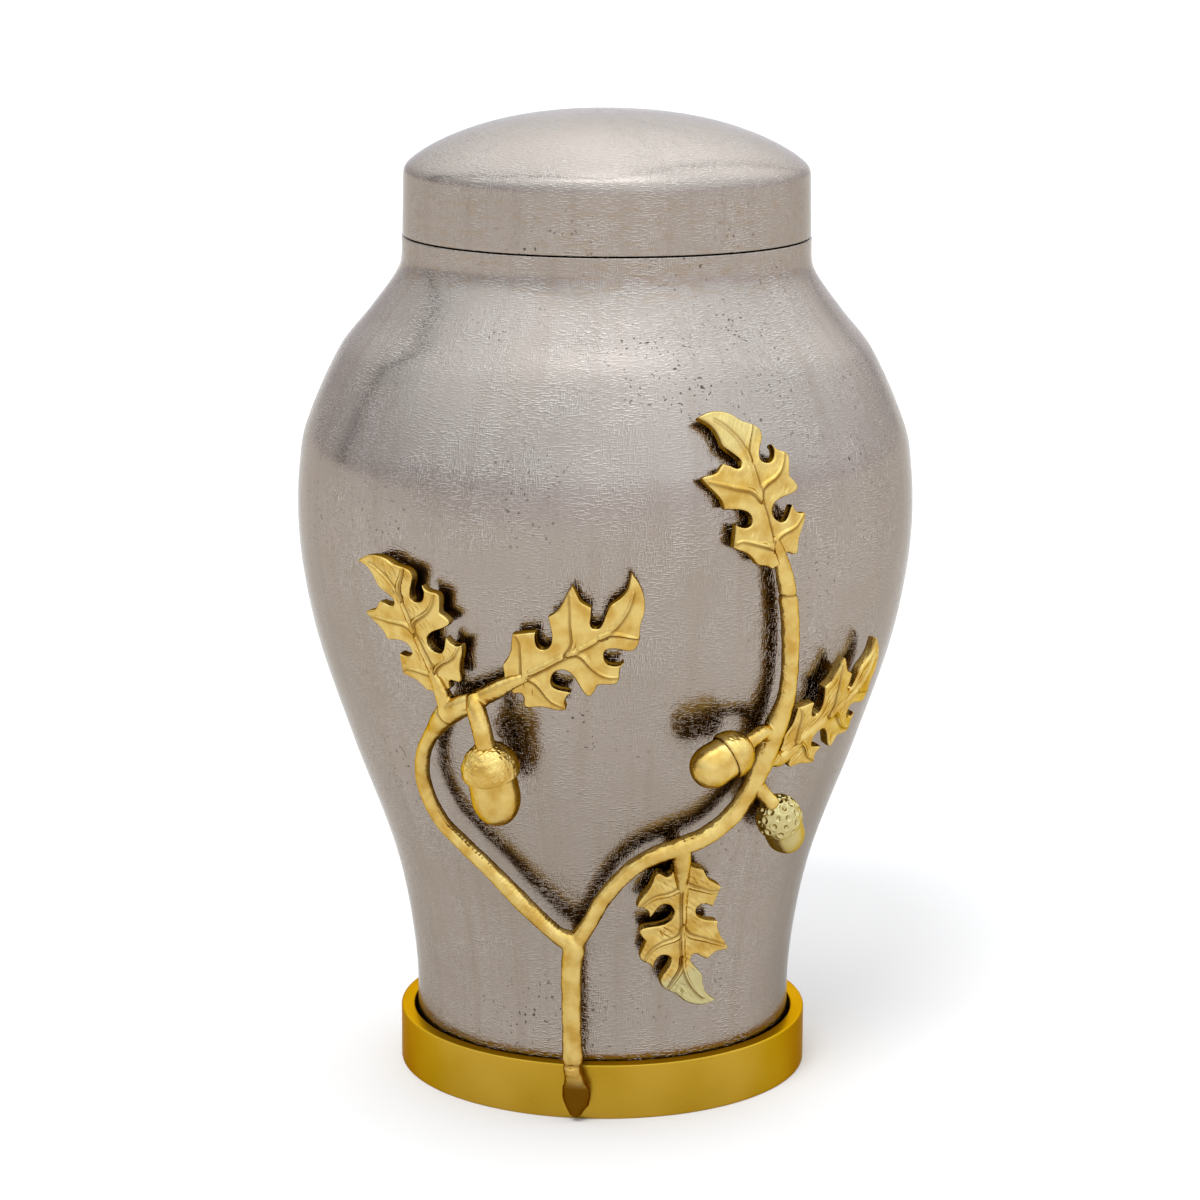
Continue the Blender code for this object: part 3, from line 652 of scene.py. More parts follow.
def buildStems():
    runs = [stemRun(np.vstack([footKnots(), stemKnots(trunk + leftArm)]), stem["spacing"])]
    runs += [stemRun(stemKnots(rows), stem["spacing"]) for rows in (rightArm,) + leafStalks + acornStalks]
    tubes = [gridMesh("tube", tubePoints(run, stem["sides"]) * mm, caps=True) for run in runs]
    mesh = remeshed(joined("branch_stems", tubes), stem["voxel"] * mm, stem["relax"])
    points, normals = readMesh(mesh)
    lift = np.zeros(len(points))
    for seed, kind in ((11, "hammered"), (12, "crossRipple"), (13, "pits")):
        lift += stem[kind][0] * ripple(points, stem[kind][1], seed)
    patinaAndShade = np.zeros(len(points))
    for azimuth, height, heading, depth in creases:
        sideways = np.array([math.cos(math.radians(azimuth)), math.sin(math.radians(azimuth)), 0])
        out = wallNormal(azimuth, height)
        ahead = np.cross(out, sideways) * math.cos(math.radians(heading)) + sideways * math.sin(math.radians(heading))
        away = points - offWall(azimuth, height, 2 * stem["radius"])
        near = bell(away @ ahead, stem["creaseWidth"]) * smoothStep(5.0, 3.6, np.linalg.norm(away, axis=1))
        lift -= stem["crease"] * depth * near
        # painted shade down the crease
        patinaAndShade = np.maximum(patinaAndShade, 0.7 * depth * near)
    # the left arm is ribbed across, like a cord wound in the wax
    azimuth = np.degrees(np.arctan2(points[:, 0], -points[:, 1]))
    run = 0.7 * points[:, 2] - 0.7 * urn["bellyRadius"] * np.radians(azimuth)
    ribbed = smoothStep(-8, -12, azimuth) * smoothStep(84, 76, points[:, 2]) * smoothStep(50, 56, points[:, 2])
    lift += stem["rib"] * ribbed * np.sin(2 * np.pi * run / stem["ribSpacing"] + 1.5 * ripple(points, 6.0, 14))
    points = points + normals * lift[:, None]
    # the lug at the foot: the tube is widened, shifted and dished by height
    h, wide, shift, stand, brown = np.array(lug, float).T
    level = points[:, 2] / ringShape["height"] * 100
    axis = np.radians(foot[1][0])
    sideways = np.array([math.cos(axis), math.sin(axis), 0])
    out = np.array([math.sin(axis), -math.cos(axis), 0])
    across = points @ sideways
    middle = bell(across, 2.2) * smoothStep(0.0, 0.5, normals @ out)
    moved = across * (np.interp(level, h, wide) - 1) + np.interp(level, h, shift)
    atFoot = level < h[-1]
    raised = np.interp(level, h, stand) * middle
    points += (atFoot * moved)[:, None] * sideways + (atFoot * raised)[:, None] * out
    patinaAndShade = np.maximum(patinaAndShade, atFoot * np.interp(level, h, brown))
    # the foot is held clear of the ring's face and of the plane that it stands on
    clear = stem["clear"]
    low = points[:, 2] < ringShape["height"] + clear
    reach = np.hypot(points[:, 0], points[:, 1])
    push = np.where(low & (reach < ringFace + clear), (ringFace + clear) / reach, 1.0)
    points[:, :2] *= push[:, None]
    points[:, 2] = np.maximum(points[:, 2], clear)
    writePoints(mesh, points)
    # painted shade on the flanks and on the side towards the wall
    paint(mesh, "rearShade", rearShadeShare(*readMesh(mesh)))
    # painted shade in the creases, with the lug's brown
    paint(mesh, "patinaAndShade", patinaAndShade)
    return mesh


stems = pieceFromMesh("branch_stems", buildStems(), brassCast, "oak_branch")
print("stems made:", len(stems.data.polygons), "faces")


# the branch: leaves, one pattern placed five times

leaf = dict(length=43.0, thickness=3.0, standoff=3.6, grid=0.18, edge=0.75, midrib=0.95, vein=0.7, groove=0.5,
            combing=0.09, sag=0.22, swell=0.07, low=0.04, inset=0.25)

# along and across in hundredths of the leaf's length, from the stalk's left side round the
# tip to its right side; a third number marks a crisp point, the others are rounded
leafEdge = (
    (-1.5, -4.9, 1), (2.0, -6.6), (4.7, -10.0), (6.7, -12.3), (9.5, -12.9), (12.4, -13.2), (16.7, -14.8),
    (20.1, -17.4), (23.1, -19.9), (25.2, -21.2, 1), (27.5, -19.3), (31.1, -16.8), (34.0, -14.6), (36.4, -13.0, 1),
    (33.4, -10.8), (31.0, -8.0), (30.3, -5.2), (31.4, -2.6), (34.4, -1.4), (37.8, -2.0), (40.8, -4.2), (43.0, -6.6),
    (45.0, -9.6), (46.6, -12.3), (48.2, -14.6, 1), (50.9, -13.7), (54.4, -13.4), (58.5, -14.2), (62.2, -15.5),
    (65.5, -16.7), (68.4, -17.6), (71.1, -18.2, 1), (70.8, -15.8), (70.0, -13.6), (69.0, -11.2), (68.2, -8.8),
    (68.3, -6.5), (69.2, -4.0), (69.9, -1.4, 1), (68.2, 0.1), (66.0, 2.2), (63.1, 4.2), (61.6, 6.6), (62.5, 9.0),
    (64.7, 10.1), (67.6, 9.3), (70.9, 7.8), (74.0, 6.2), (76.8, 5.0), (79.3, 4.7), (82.4, 5.4), (86.0, 5.8),
    (89.1, 5.6), (92.1, 4.7), (94.9, 3.2), (97.3, 1.4), (100.0, -0.4, 1), (99.4, 3.3), (98.9, 6.4), (98.2, 8.8),
    (97.1, 11.4), (95.3, 14.6), (93.0, 17.6), (90.1, 20.5), (87.2, 22.6), (84.3, 23.9), (81.5, 25.7), (78.7, 28.5),
    (76.1, 31.0), (73.5, 32.8), (70.6, 33.7), (68.0, 33.0), (65.9, 31.0), (64.2, 28.3), (62.1, 25.2), (59.7, 22.8),
    (57.2, 22.0), (54.7, 23.4), (52.6, 26.4), (52.4, 29.3), (53.9, 32.0), (56.4, 34.2), (60.2, 35.2, 1),
    (57.6, 35.4), (55.5, 36.2), (53.1, 38.2), (51.1, 40.4), (48.7, 41.4), (46.1, 40.6), (43.3, 38.0), (41.0, 35.6),
    (39.0, 34.3, 1), (36.5, 35.3), (33.4, 36.3), (31.0, 36.2), (29.9, 34.6), (29.9, 31.9), (30.8, 28.3),
    (31.9, 24.7), (32.6, 22.0), (32.9, 19.6), (32.8, 16.7), (31.8, 14.2), (29.6, 12.2), (26.6, 11.3), (23.0, 12.2),
    (19.9, 14.6), (19.0, 17.2), (19.9, 19.8), (21.6, 22.4), (23.4, 24.6), (24.7, 27.0, 1), (21.2, 26.6),
    (18.4, 27.4), (16.4, 29.2), (15.6, 31.3), (14.4, 32.4, 1), (11.6, 30.3), (9.2, 27.6), (7.3, 24.4), (5.1, 21.4),
    (2.0, 18.6), (-1.3, 16.6), (-3.1, 14.6), (-2.3, 12.4), (-0.1, 10.7), (1.5, 9.4), (1.9, 7.5), (0.4, 5.8),
    (-2.0, 4.6, 1),
)
# the ridges, and which side their groove lies on: 1 is the right side looking outwards
midrib = (
    (-3.0, -0.6), (3.1, -0.8), (9.4, 0.4), (15.6, 2.4), (22.1, 4.4), (28.7, 6.2), (35.4, 7.8), (41.6, 9.7),
    (47.7, 11.7), (53.9, 13.4), (60.5, 14.7), (66.7, 15.7), (70.9, 16.1), (75.2, 15.7), (80.0, 14.7), (84.7, 13.0),
    (89.1, 10.9), (92.5, 8.6),
)
veins = (
    (((10.6, 0.9), (13.2, -1.6), (17.2, -5.6), (21.6, -10.2), (25.2, -14.3), (26.4, -18.3)), -1),
    (((39.5, 9.0), (44.2, 8.0), (48.1, 5.8), (51.3, 2.2), (55.1, -2.4), (59.2, -6.8), (62.7, -10.7),
      (66.4, -14.9)), -1),
    (((9.2, 0.6), (12.2, 3.6), (13.6, 8.0), (13.4, 13.1), (12.4, 18.3), (12.3, 22.4), (13.7, 26.6),
      (15.0, 29.9)), 1),
    (((40.4, 9.4), (44.2, 12.2), (45.3, 16.0), (45.0, 19.8), (44.6, 24.4), (44.9, 28.2), (45.9, 32.0),
      (48.0, 35.8), (50.4, 38.4)), 1),
    (((61.0, 14.8), (66.2, 17.0), (69.8, 21.0), (73.0, 26.0), (75.8, 29.8)), 1),
)
# azimuth and height of the stalk's end, heading and share of the length, then the combed
# lines of the wax: their heading on the urn in degrees from level, and their strength; the
# last number is how pale the leaf's end is
leafPlaces = (
    ((-29.4, 53.3, -38.4, 0.91), (-50.0, 0.9), 0.0),
    ((-16.5, 54.4, 45.3, 1.0), (4.0, 1.0), 0.0),
    ((18.0, 31.7, 159.2, 1.05), (88.0, 1.3), 1.0),
    ((37.1, 45.2, 44.9, 0.88), (35.0, 0.8), 0.0),
    ((29.6, 67.7, -29.3, 0.95), (0.0, 0.35), 0.4),
)


def leafOutline(spacing):
    # each point becomes a quadratic curve between the middles of its two sides, or close
    # to it where it is crisp; then the whole outline is walked in even steps
    corners = np.array([point[:2] for point in leafEdge])
    share = np.array([0.2 if len(point) > 2 else 0.5 for point in leafEdge])[:, None]
    start = corners + (np.roll(corners, 1, 0) - corners) * share
    end = corners + (np.roll(corners, -1, 0) - corners) * share
    t = np.linspace(0, 1, 9)[None, :, None]
    curve = start[:, None] * (1 - t) ** 2 + corners[:, None] * 2 * t * (1 - t) + end[:, None] * t * t
    points = curve.reshape(-1, 2)
    closed = np.vstack([points, points[:1]])
    length = lengthAlong(closed)[-1]
    return pointsAt(closed, np.linspace(0, length, int(length / spacing), endpoint=False))


def curveThrough(points, spacing):
    knots = np.column_stack([np.array(points, float), np.zeros((len(points), 2))])
    return stemRun(knots, spacing)[:, :2]


def nearest(points, line):
    # distance to a line of close points, which side of it, and how far along it from 0 to 1
    best = np.full(len(points), np.inf)
    index = np.zeros(len(points), int)
    for start in range(0, len(points), 4000):
        part = points[start:start + 4000]
        gap = ((part[:, None] - line[None]) ** 2).sum(-1)
        index[start:start + 4000] = gap.argmin(1)
        best[start:start + 4000] = np.sqrt(gap.min(1))
    ahead = np.gradient(line, axis=0)[index]
    away = points - line[index]
    side = np.sign(ahead[:, 0] * away[:, 1] - ahead[:, 1] * away[:, 0])
    return best, side, index / (len(line) - 1)


def leafSheet():
    # points all over the leaf, in mm on a leaf of full length, with their triangles
    size = leaf["length"] / 100
    step = leaf["grid"]
    edge = leafOutline(step / size * 0.9) * size
    ahead = np.roll(edge, -1, 0) - np.roll(edge, 1, 0)
    inward = np.column_stack([-ahead[:, 1], ahead[:, 0]]) / np.hypot(*ahead.T)[:, None]
    # the outline runs clockwise seen with along upwards, so its inside is on the right
    area = 0.5 * np.sum(edge[:, 0] * np.roll(edge[:, 1], -1) - edge[:, 1] * np.roll(edge[:, 0], -1))
    inward *= 1 if area > 0 else -1
    near = np.vstack([edge + inward * d for d in (0.05, 0.15, 0.3)])
    low, high = edge.min(0), edge.max(0)
    x = np.arange(low[0], high[0], step * 0.866)
    y = np.arange(low[1], high[1], step)
    gx, gy = np.meshgrid(x, y, indexing="ij")
    gy = gy + (np.arange(len(x)) % 2)[:, None] * step / 2
    fill = np.column_stack([gx.ravel(), gy.ravel()])
    fill = fill[nearest(fill, edge)[0] > 0.4]
    near = near[nearest(near, edge)[0] > 0.04]
    every = [Vector(p) for p in np.vstack([edge, near, fill])]
    outline = [list(range(len(edge)))]
    flat, _, faces, _, _, _ = delaunay_2d_cdt(every, [], outline, 1, 1e-4)
    return np.array([tuple(p) for p in flat]), np.array([tuple(f) for f in faces]), edge


def leafRibs(flat):
    # rounded ridges, steeper on the side of their groove: bell(t, width), where t is the
    # distance across the ridge, which narrows towards its end
    size = leaf["length"] / 100
    height = np.zeros(len(flat))
    nearRib, patinaAndShade = np.full(len(flat), np.inf), np.zeros(len(flat))
    ribs = [((midrib, 1), leaf["midrib"], 1.0, 0.4)] + [(vein, leaf["vein"], 0.7, 0.35) for vein in veins]
    for (line, grooveSide), rise, wide, narrow in ribs:
        away, side, along = nearest(flat, curveThrough(line, 0.5) * size)
        width = wide + (narrow - wide) * along
        fade = 1 - 0.45 * along
        t = away * side * grooveSide
        height = np.maximum(height, rise * fade * bell(t, np.where(t > 0, 0.62, 1.15) * width))
        cut = fade * bell(t - 0.95 * width, 0.36)
        height -= leaf["groove"] * (cut + 0.3 * fade * bell(t + 1.7 * width, 0.3))
        # painted shade along each groove, partly patina
        patinaAndShade = np.maximum(patinaAndShade, 0.9 * cut)
        nearRib = np.minimum(nearRib, away)
    return height, nearRib, patinaAndShade


def leafRelief(seed, heading, strength):
    # the front's height: ribs, sagging lobes, combed lines, then the rounded edge, a quarter
    # circle of the edge radius; all a little low, so that no ridge stands out of the solid's box
    height = leafRibHeight - leaf["sag"] * smoothStep(0.3, 3.2, leafNearRib) * smoothStep(0.3, 2.2, leafNearEdge)
    combed = ripple(leafFlat, 1.15, seed + 2, 16, heading) * (0.7 + 0.5 * ripple(leafFlat, 7.0, seed + 3))
    height += leaf["combing"] * strength * combed * smoothStep(0.5, 1.3, leafNearRib)
    height += leaf["swell"] * ripple(leafFlat, 5.0, seed) - leaf["low"]
    closeness = np.clip(1 - leafNearEdge / leaf["edge"], 0, 1)
    return height * smoothStep(0, 0.9, leafNearEdge) - leaf["edge"] * (1 - np.sqrt(np.clip(1 - closeness ** 2, 0, 1)))


leafFlat, leafFaces, leafRim = leafSheet()
leafNearEdge = nearest(leafFlat, leafRim)[0]
leafRibHeight, leafNearRib, leafPatinaAndShade = leafRibs(leafFlat)
leafRimIndex = np.round(nearest(leafRim, leafFlat)[2] * (len(leafFlat) - 1)).astype(int)
print("leaf pattern:", len(leafFlat), "points")


def leafMesh(name, place, combing, pale, seed):
    # front and back carry the same triangles, and the wall between them runs round the edge
    azimuth, height, heading, scale = place
    z0 = height / 100 * urn["rimZ"]
    along = np.array([math.sin(math.radians(heading)), math.cos(math.radians(heading))])
    across = np.array([along[1], -along[0]])
    unroll = float(wallRadius(z0)) + leaf["standoff"]

    def onWall(flat, lift):
        sheet = (flat[:, :1] * along + flat[:, 1:] * across) * scale
        return offWall(azimuth + np.degrees(sheet[:, 0] / unroll), z0 + sheet[:, 1], leaf["standoff"] + lift)

    half = leaf["thickness"] / 2
    # waves run square to the lines, and the leaf's own axes are turned by its heading
    lines, strength = combing
    front = onWall(leafFlat, half + leafRelief(seed, heading + lines, strength))
    # the wall: rows from the front edge down to the back, with fine lines across it
    ahead = np.roll(leafRim, -1, 0) - np.roll(leafRim, 1, 0)
    outward = np.column_stack([ahead[:, 1], -ahead[:, 0]]) / np.hypot(*ahead.T)[:, None]
    area = np.sum(leafRim[:, 0] * np.roll(leafRim[:, 1], -1) - leafRim[:, 1] * np.roll(leafRim[:, 0], -1))
    outward *= 1 if area > 0 else -1
    inner = leafRim - outward * leaf["inset"]
    depth = half - leaf["edge"] - np.linspace(0, 1, 9)[1:] * (leaf["thickness"] - leaf["edge"] - leaf["inset"])
    walk = np.arange(len(leafRim)) * leaf["grid"]
    bulge = np.array([0.03, 0.05, 0.06, 0.06, 0.06, 0.05, 0.03, 0.0])
    rows = []
    for d, b in zip(depth, bulge):
        wave = 0.035 * np.sin(2 * np.pi * walk / 0.8)
        wave += 0.03 * ripple(np.column_stack([walk, walk * 0 + d * 3]), 3.0, seed + 5)
        rows.append(onWall(leafRim + outward * (b + wave * (b > 0))[:, None], d))
    rows.append(onWall(inner, -half))
    count, n = len(leafFlat), len(leafRim)
    points = np.vstack([front] + rows)
    faces = [tuple(f) for f in leafFaces]
    rings = [leafRimIndex] + [count + n * k + np.arange(n) for k in range(len(rows))]
    for upper, lower in zip(rings, rings[1:]):
        faces += list(zip(upper, lower, np.roll(lower, -1), np.roll(upper, -1)))
    # the back is one flat sheet on the last row of the wall
    flat, _, backFaces, sources, _, _ = delaunay_2d_cdt([Vector(p) for p in inner], [], [list(range(n))], 1, 1e-5)
    last = rings[-1]
    extra = [i for i, s in enumerate(sources) if not s]
    backIndex = np.array([last[s[0]] if s else -1 for s in sources])
    if extra:
        backIndex[extra] = len(points) + np.arange(len(extra))
        points = np.vstack([points, onWall(np.array([tuple(flat[i]) for i in extra]), -half)])
    faces += [tuple(backIndex[list(f)][::-1]) for f in backFaces]
    mesh = bpy.data.meshes.new(name)
    mesh.from_pydata(points * mm, [], [tuple(int(i) for i in f) for f in faces])
    paleEnd = pale * smoothStep(0.66, 0.72, leafFlat[:, 0] / leaf["length"])
    # the grooves' painted shade and patina, and the paler end
    for field, values in (("patinaAndShade", leafPatinaAndShade), ("pale", paleEnd)):
        paint(mesh, field, np.concatenate([values, np.zeros(len(points) - count)]))
    tidyMesh(mesh, 2e-6)
    # painted shade on the flanks and on the side towards the wall
    paint(mesh, "rearShade", rearShadeShare(*readMesh(mesh)))
    return mesh


for number, (place, combing, pale) in enumerate(leafPlaces):
    name = f"branch_leaf_{number + 1}"
    piece = pieceFromMesh(name, leafMesh(name, place, combing, pale, 40 + 10 * number), brassCast, "oak_branch")
    print(name, "made:", len(piece.data.polygons), "faces")


# the branch: acorns

acorn = dict(radius=6.4, seat=1.2, around=150, swell=0.05, inset=0.06, dimples=34, dimpleDepth=0.5, dimpleWidth=0.55,
             dimpleRim=0.2, scaly=0.16, faint=0.07, pale=0.9)
# turn from straight down towards +X, lift off the wall, then cup radius, cup height, nut
# radius and nut length in acorn radii, and how the cup is marked
acorns = (
    (acornStalks[0][-1], (3.0, 0.0), (1.2, 1.25, 1.0, 2.48), "scaly"),
    (acornStalks[1][-1], (-67.0, 9.0), (1.0, 1.06, 0.88, 1.8), "faint"),
    (acornStalks[2][-1], (36.0, -8.0), (0.97, 1.25, 0.83, 2.12), "dimpled"),
)


def acornProfile(cup, cupHeight, nut, nutLength):
    # cup dome, rounded lip, undercut, then the nut's smooth side and round end
    a = np.radians(np.linspace(0, 84, 46))
    dome = np.column_stack([cup * np.sin(a), -cupHeight * np.cos(a)])
    lip = np.array([(cup, -0.2), (cup, 0.3), (cup - 0.15, 0.7), (cup - 0.5, 0.95),
                    (nut + 0.3, 0.85), (nut - 0.15, 0.5), (nut - 0.2, 0.9)])
    start, full = 0.08, 0.4  # shares of the nut's length
    at = start + (1 - start) * (1 - (1 - np.linspace(0, 1, 60)) ** 1.6)
    # it swells by 2 hundredths, and then its end is rounded like a superellipse
    swell = 1.0 + 0.02 * (at - start) / (full - start)
    end = 1.02 * np.clip(1 - (np.maximum(at - full, 0) / (1 - full)) ** 2.6, 0, 1) ** 0.55
    side = np.column_stack([nut * np.where(at < full, swell, end), nutLength * at])
    return np.vstack([dome, lip, side])


def dimples(count, deepest):
    # places spread evenly over the cup by the golden angle, as unit vectors
    k = np.arange(count)
    up = 1 - (k + 0.5) / count * deepest
    turn = k * math.pi * (3 - math.sqrt(5))
    flat = np.sqrt(1 - up ** 2)
    return np.column_stack([flat * np.cos(turn), flat * np.sin(turn), -up])


def acornMesh(name, stalkEnd, angles, sizes, marking, seed):
    cup, cupHeight, nut, nutLength = (size * acorn["radius"] for size in sizes)
    profile = acornProfile(cup, cupHeight, nut, nutLength)
    # even rows, and the lip's own ones between them
    at = lengthAlong(profile)
    profile = pointsAt(profile, np.unique(np.concatenate([np.linspace(0, at[-1], 190), at[44:54]])))
    a = np.linspace(0, 2 * np.pi, acorn["around"], endpoint=False)
    r, z = profile[:, :1], profile[:, 1:]
    shape = np.stack([r * np.cos(a), r * np.sin(a), z + 0 * a], -1)
    mesh = tidyMesh(gridMesh(name, shape * mm))
    points, normals = readMesh(mesh)
    onCup = smoothStep(0.3, -0.6, points[:, 2])
    # a little smaller all round, so that no ripple stands out of the solid's box
    lift = acorn["swell"] * ripple(points, 5.0, seed) - acorn["inset"]
    # painted shadow in the groove under the cup's lip
    patinaAndShade = bell(points[:, 2] - 0.75, 0.35) * (np.hypot(points[:, 0], points[:, 1]) < nut + 0.35)
    if marking == "dimpled":
        where = points / (cup, cup, cupHeight)
        where /= np.linalg.norm(where, axis=1, keepdims=True)
        gap = np.sqrt(((where[:, None] - dimples(acorn["dimples"], 0.95)[None]) ** 2).sum(-1)).min(1) * cup
        lift += onCup * acorn["dimpleRim"] * bell(gap - 0.95, 0.3)
        lift -= onCup * acorn["dimpleDepth"] * bell(gap, acorn["dimpleWidth"])
        # painted shade in each dimple
        patinaAndShade = 0.3 * onCup * bell(gap, 0.4)
    else:
        strength = acorn[marking]
        scales = np.abs(ripple(points, 2.0, seed + 1)) + 0.5 * np.abs(ripple(points, 1.0, seed + 2))
        lift += onCup * strength * (scales - 0.5)
        # painted shade in the low parts of the scales
        patinaAndShade = np.maximum(patinaAndShade, 3 * strength * onCup * smoothStep(0.3, 0.0, scales))
    points = points + normals * lift[:, None]
    # seat the cup on the stalk's end and point the nut along the given angles
    azimuth, height, distance, _ = stalkEnd
    z = height / 100 * urn["rimZ"]
    end = offWall(azimuth, z, distance * stem["radius"])
    out = wallNormal(azimuth, z)
    sideways = np.array([math.cos(math.radians(azimuth)), math.sin(math.radians(azimuth)), 0])
    down = np.cross(sideways, out)
    turn, lean = (math.radians(angle) for angle in angles)
    axis = (down * math.cos(turn) + sideways * math.sin(turn)) * math.cos(lean) + out * math.sin(lean)
    turned = np.array(Vector(axis).to_track_quat("Z", "Y").to_matrix())
    points = points @ turned.T + end + axis * (cupHeight - acorn["seat"])
    writePoints(mesh, points)
    # painted shade on the flanks and on the side towards the wall
    paint(mesh, "rearShade", rearShadeShare(*readMesh(mesh)))
    # painted shade in the crease under the lip and in the cup's marks
    paint(mesh, "patinaAndShade", patinaAndShade)
    paint(mesh, "pale", np.full(len(points), acorn["pale"] if marking == "dimpled" else 0.0))
    return mesh


for number, (stalkEnd, angles, sizes, marking) in enumerate(acorns):
    name = f"branch_acorn_{number + 1}"
    piece = pieceFromMesh(name, acornMesh(name, stalkEnd, angles, sizes, marking, 90 + number), brassCast, "oak_branch")
    print(name, "made:", len(piece.data.polygons), "faces")


# floor, light and camera

# radiances of the soft light round the urn, by height of the direction (0 level, 1 up);
# the sheet in front of it is even, and the one behind it brightens upwards. Sides are by
# direction from left 0 to right 1, and a post is its azimuth, half its width and its depth
studio = dict(
    floorColour="#BEB8B1", floorSize=120.0, fibre=1.111, lowTint="#F4F4FF", skyTint="#EAF2FC", scale=5.0, gain=1.09,
    front=((0.0, 1.36), (0.17, 1.52), (0.42, 1.82), (0.73, 2.0), (0.9, 2.15), (0.955, 2.7), (1.0, 4.4)),
    behind=((0.0, 1.1), (0.17, 1.45), (0.37, 2.1), (0.6, 2.9), (0.79, 3.6), (0.93, 4.2), (1.0, 4.4)),
    sides=((0.0, 0.6), (0.25, 0.75), (0.5, 0.94), (0.7, 0.98), (0.9, 0.88), (1.0, 0.84)),
    box=(-0.62, -0.16, 0.77), boxGain=1.3,
    posts=((-117.0, 0.032, 0.15), (151.0, 0.02, 0.3)),
    sun=3.4, sunSpread=28.0, sunTravel=(0.38, 0.84, -1.0),
    lens=111.3, sensor=36.0, cameraPlace=(-0.0013, -1.0051, 0.3445), cameraDown=12.0, cameraRoll=0.3,
)


def buildFloor():
    bpy.ops.mesh.primitive_plane_add(size=studio["floorSize"], location=(0, 6.0, 0))
    floor = bpy.context.object
    floor.name = "studio_floor"
    material, tree, shader = newMaterial("whitePaper", studio["floorColour"], 0.0, 0.9)
    place = addNode(tree, "ShaderNodeTexCoord").outputs["Object"]
    fibre = addNode(tree, "ShaderNodeTexNoise", {"Vector": place, "Scale": 1 / (studio["fibre"] * mm), "Detail": 2.0})
    bump = addNode(tree, "ShaderNodeBump", {"Height": fibre.outputs["Fac"], "Strength": 0.03, "Distance": 0.1 * mm})
    connect(tree, shader, {"Normal": bump.outputs["Normal"]})
    floor.data.materials.append(material)


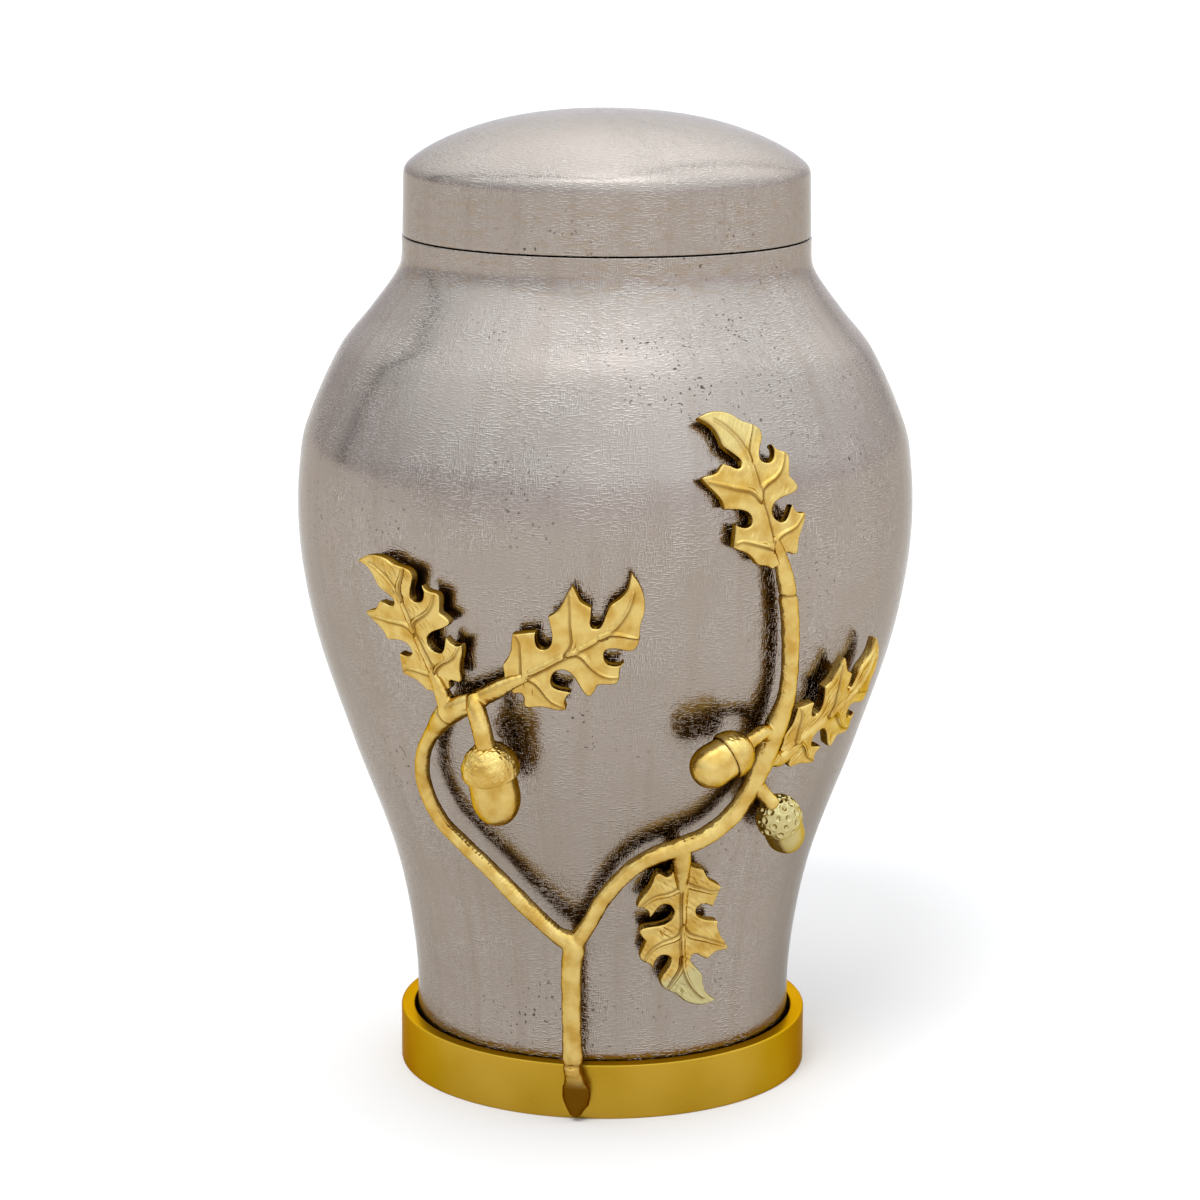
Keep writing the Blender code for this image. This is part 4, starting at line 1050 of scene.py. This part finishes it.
def buildWorld():
    s = studio
    world = bpy.data.worlds.new("studio")
    bpy.context.scene.world = world
    world.use_nodes = True
    tree = world.node_tree
    where = addNode(tree, "ShaderNodeTexCoord").outputs["Generated"]
    x, y, z = addNode(tree, "ShaderNodeSeparateXYZ", {"Vector": where}).outputs
    front, behind = (rampStops(addNode(tree, "ShaderNodeValToRGB", {"Fac": z}),
                               [(place, value / s["scale"]) for place, value in s[sheet]])
                     for sheet in ("front", "behind"))
    away = addNode(tree, "ShaderNodeMapRange", {"Value": y, "From Min": 0.2, "From Max": 0.85})
    sky = addNode(tree, "ShaderNodeMix", {"data_type": "RGBA", 0: away.outputs["Result"], 6: front, 7: behind})
    # the light overhead is cooler than the light from the sides
    cool = rampStops(addNode(tree, "ShaderNodeValToRGB", {"Fac": z}), [(0.0, s["lowTint"]), (0.45, s["skyTint"])])
    tinted = addNode(tree, "ShaderNodeMix", {
        "data_type": "RGBA", "blend_type": "MULTIPLY", 0: 1.0, 6: sky.outputs[2], 7: cool})
    # both sides are darker than the middle, and a soft box hangs high on the left
    across = addNode(tree, "ShaderNodeMath", {"operation": "MULTIPLY_ADD", 0: x, 1: 0.5, 2: 0.5})
    side = rampStops(addNode(tree, "ShaderNodeValToRGB", {"Fac": across.outputs[0]}), s["sides"])
    toBox = addNode(tree, "ShaderNodeVectorMath", {"operation": "DOT_PRODUCT", 0: where, 1: s["box"]})
    box = addNode(tree, "ShaderNodeMapRange", {
        "interpolation_type": "SMOOTHSTEP", "Value": toBox.outputs["Value"],
        "From Min": 0.8, "From Max": 0.98, "To Min": 1.0, "To Max": s["boxGain"]})
    strength = addNode(tree, "ShaderNodeMath", {
        "operation": "MULTIPLY", 0: side, 1: box.outputs["Result"]}).outputs[0]
    # thin dark posts of the light tent, which the polished sides show as dark lines: a
    # post stands where the direction is square to the post's own plane, on its side of x
    for azimuth, half, depth in s["posts"]:
        turned = math.radians(azimuth)
        plane = (math.cos(turned), math.sin(turned), 0)
        off = addNode(tree, "ShaderNodeVectorMath", {"operation": "DOT_PRODUCT", 0: where, 1: plane})
        gap = addNode(tree, "ShaderNodeMath", {"operation": "ABSOLUTE", 0: off.outputs["Value"]})
        post = addNode(tree, "ShaderNodeMapRange", {
            "Value": gap.outputs[0], "From Min": half * 0.6, "From Max": half * 1.6, "To Min": depth, "To Max": 1.0})
        near = addNode(tree, "ShaderNodeMath", {"operation": "MULTIPLY", 0: x, 1: math.sin(turned)})
        here = addNode(tree, "ShaderNodeMath", {"operation": "GREATER_THAN", 0: near.outputs[0], 1: 0.0})
        dark = addNode(tree, "ShaderNodeMix", {
            "data_type": "FLOAT", 0: here.outputs[0], 2: 1.0, 3: post.outputs["Result"]})
        strength = addNode(tree, "ShaderNodeMath", {
            "operation": "MULTIPLY", 0: strength, 1: dark.outputs[0]}).outputs[0]
    full = addNode(tree, "ShaderNodeMath", {"operation": "MULTIPLY", 0: strength, 1: s["scale"] * s["gain"]})
    connect(tree, tree.nodes["Background"], {"Color": tinted.outputs[2], "Strength": full.outputs[0]})


def buildSun():
    # a broad lamp from the left front that only the paper shows: it casts the soft shadow
    # to the right, and the metal keeps the even light of the tent
    light = bpy.data.lights.new("sun", "SUN")
    light.energy = studio["sun"]
    light.angle = math.radians(studio["sunSpread"])
    light.color = linear(studio["skyTint"])[:3]
    thing = bpy.data.objects.new("sun", light)
    thing.rotation_euler = Vector(studio["sunTravel"]).to_track_quat("-Z", "Y").to_euler()
    thing.visible_glossy = False
    bpy.context.scene.collection.objects.link(thing)


def buildCamera():
    # fitted to the seam, band and ring ellipses
    camera = bpy.data.cameras.new("camera")
    camera.sensor_width = studio["sensor"]
    camera.lens = studio["lens"]
    thing = bpy.data.objects.new("camera", camera)
    tip = Matrix.Rotation(math.radians(90.0 - studio["cameraDown"]), 4, "X")
    roll = Matrix.Rotation(math.radians(studio["cameraRoll"]), 4, "Z")
    thing.matrix_world = Matrix.Translation(studio["cameraPlace"]) @ tip @ roll
    bpy.context.scene.collection.objects.link(thing)
    bpy.context.scene.camera = thing


buildFloor()
buildWorld()
buildSun()
buildCamera()
bpy.context.scene.view_settings.view_transform = "Standard"
print("studio and camera set")
